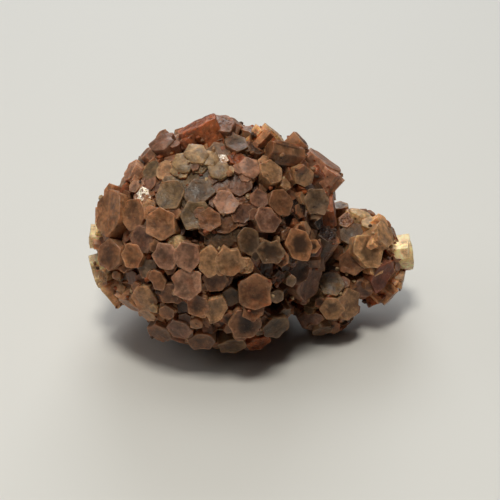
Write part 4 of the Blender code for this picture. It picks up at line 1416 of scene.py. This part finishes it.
@dataclass
class Studio:
    """A pale surface, soft light from above and the eye that the front is laid out for."""

    shift: Vector
    view_width: float = 100.0
    sensor: float = 36.0
    lamps: tuple[Lamp, ...] = (
        Lamp("overhead", (-0.04, -0.20, 0.58), 0.13, 2.0, (1.0, 0.955, 0.85)),
        Lamp("ceiling", (-0.06, 0.16, 0.62), 0.50, 1.2, (1.0, 0.98, 0.94)),
        Lamp("behind", (0.0, 0.58, 0.40), 0.40, 1.95, (0.96, 0.985, 1.0)),
        Lamp("window", (-0.72, 0.00, 0.46), 0.40, 0.6, (1.0, 0.99, 0.98)),
        Lamp("front", (-0.20, -0.40, 0.62), 0.30, 0.3, (1.0, 0.955, 0.87)),
    )
    sky: tuple[float, float, float] = (0.80, 0.81, 0.82)
    sky_strength: float = 0.035

    def surface(self) -> None:
        """Lays the pale surface that the cluster stands on."""
        work = bmesh.new()
        bmesh.ops.create_grid(work, x_segments=8, y_segments=8, size=1.6)
        mesh = bpy.data.meshes.new("surface")
        work.to_mesh(mesh)
        work.free()
        surface = bpy.data.objects.new("surface", mesh)
        material = bpy.data.materials.new("pale paper")
        material.use_nodes = True
        shader = material.node_tree.nodes["Principled BSDF"]
        shader.inputs["Base Color"].default_value = (0.672, 0.672, 0.655, 1.0)
        shader.inputs["Roughness"].default_value = 0.75
        shader.inputs["Specular IOR Level"].default_value = 0.2
        mesh.materials.append(material)
        bpy.context.scene.collection.objects.link(surface)

    def eye(self) -> None:
        """Sets the camera where the front is laid out from."""
        data = bpy.data.cameras.new("eye")
        data.sensor_width = self.sensor
        data.lens = self.sensor * SIGHT.distance / self.view_width
        data.clip_start = 0.01
        camera = bpy.data.objects.new("eye", data)
        basis = Matrix((SIGHT.right, UP, TOWARDS)).transposed().to_4x4()
        basis.translation = (SIGHT.in_space(0.0, 0.0, SIGHT.distance) + self.shift) * MM
        camera.matrix_world = basis
        bpy.context.scene.collection.objects.link(camera)
        bpy.context.scene.camera = camera

    def build(self) -> None:
        """Sets up the surface, the lights, the sky and the camera."""
        self.surface()
        self.eye()
        for lamp in self.lamps:
            lamp.build(Vector((0.0, 0.0, 0.02)))
        world = bpy.data.worlds.new("room")
        world.use_nodes = True
        back = world.node_tree.nodes["Background"]
        back.inputs["Color"].default_value = (*self.sky, 1.0)
        back.inputs["Strength"].default_value = self.sky_strength
        scene = bpy.context.scene
        scene.world = world
        scene.view_settings.view_transform = "Standard"
        scene.view_settings.look = "None"
        scene.cycles.use_denoising = True
        scene.cycles.max_bounces = 10
        scene.cycles.caustics_refractive = False
        scene.cycles.caustics_reflective = False


def main() -> None:
    """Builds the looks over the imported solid."""
    logging.basicConfig(level=logging.INFO, format="%(name)s: %(message)s")
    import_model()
    piece = Specimen().build()
    log.info("piece %s on body root", piece.name)


if __name__ == "__main__":
    main()
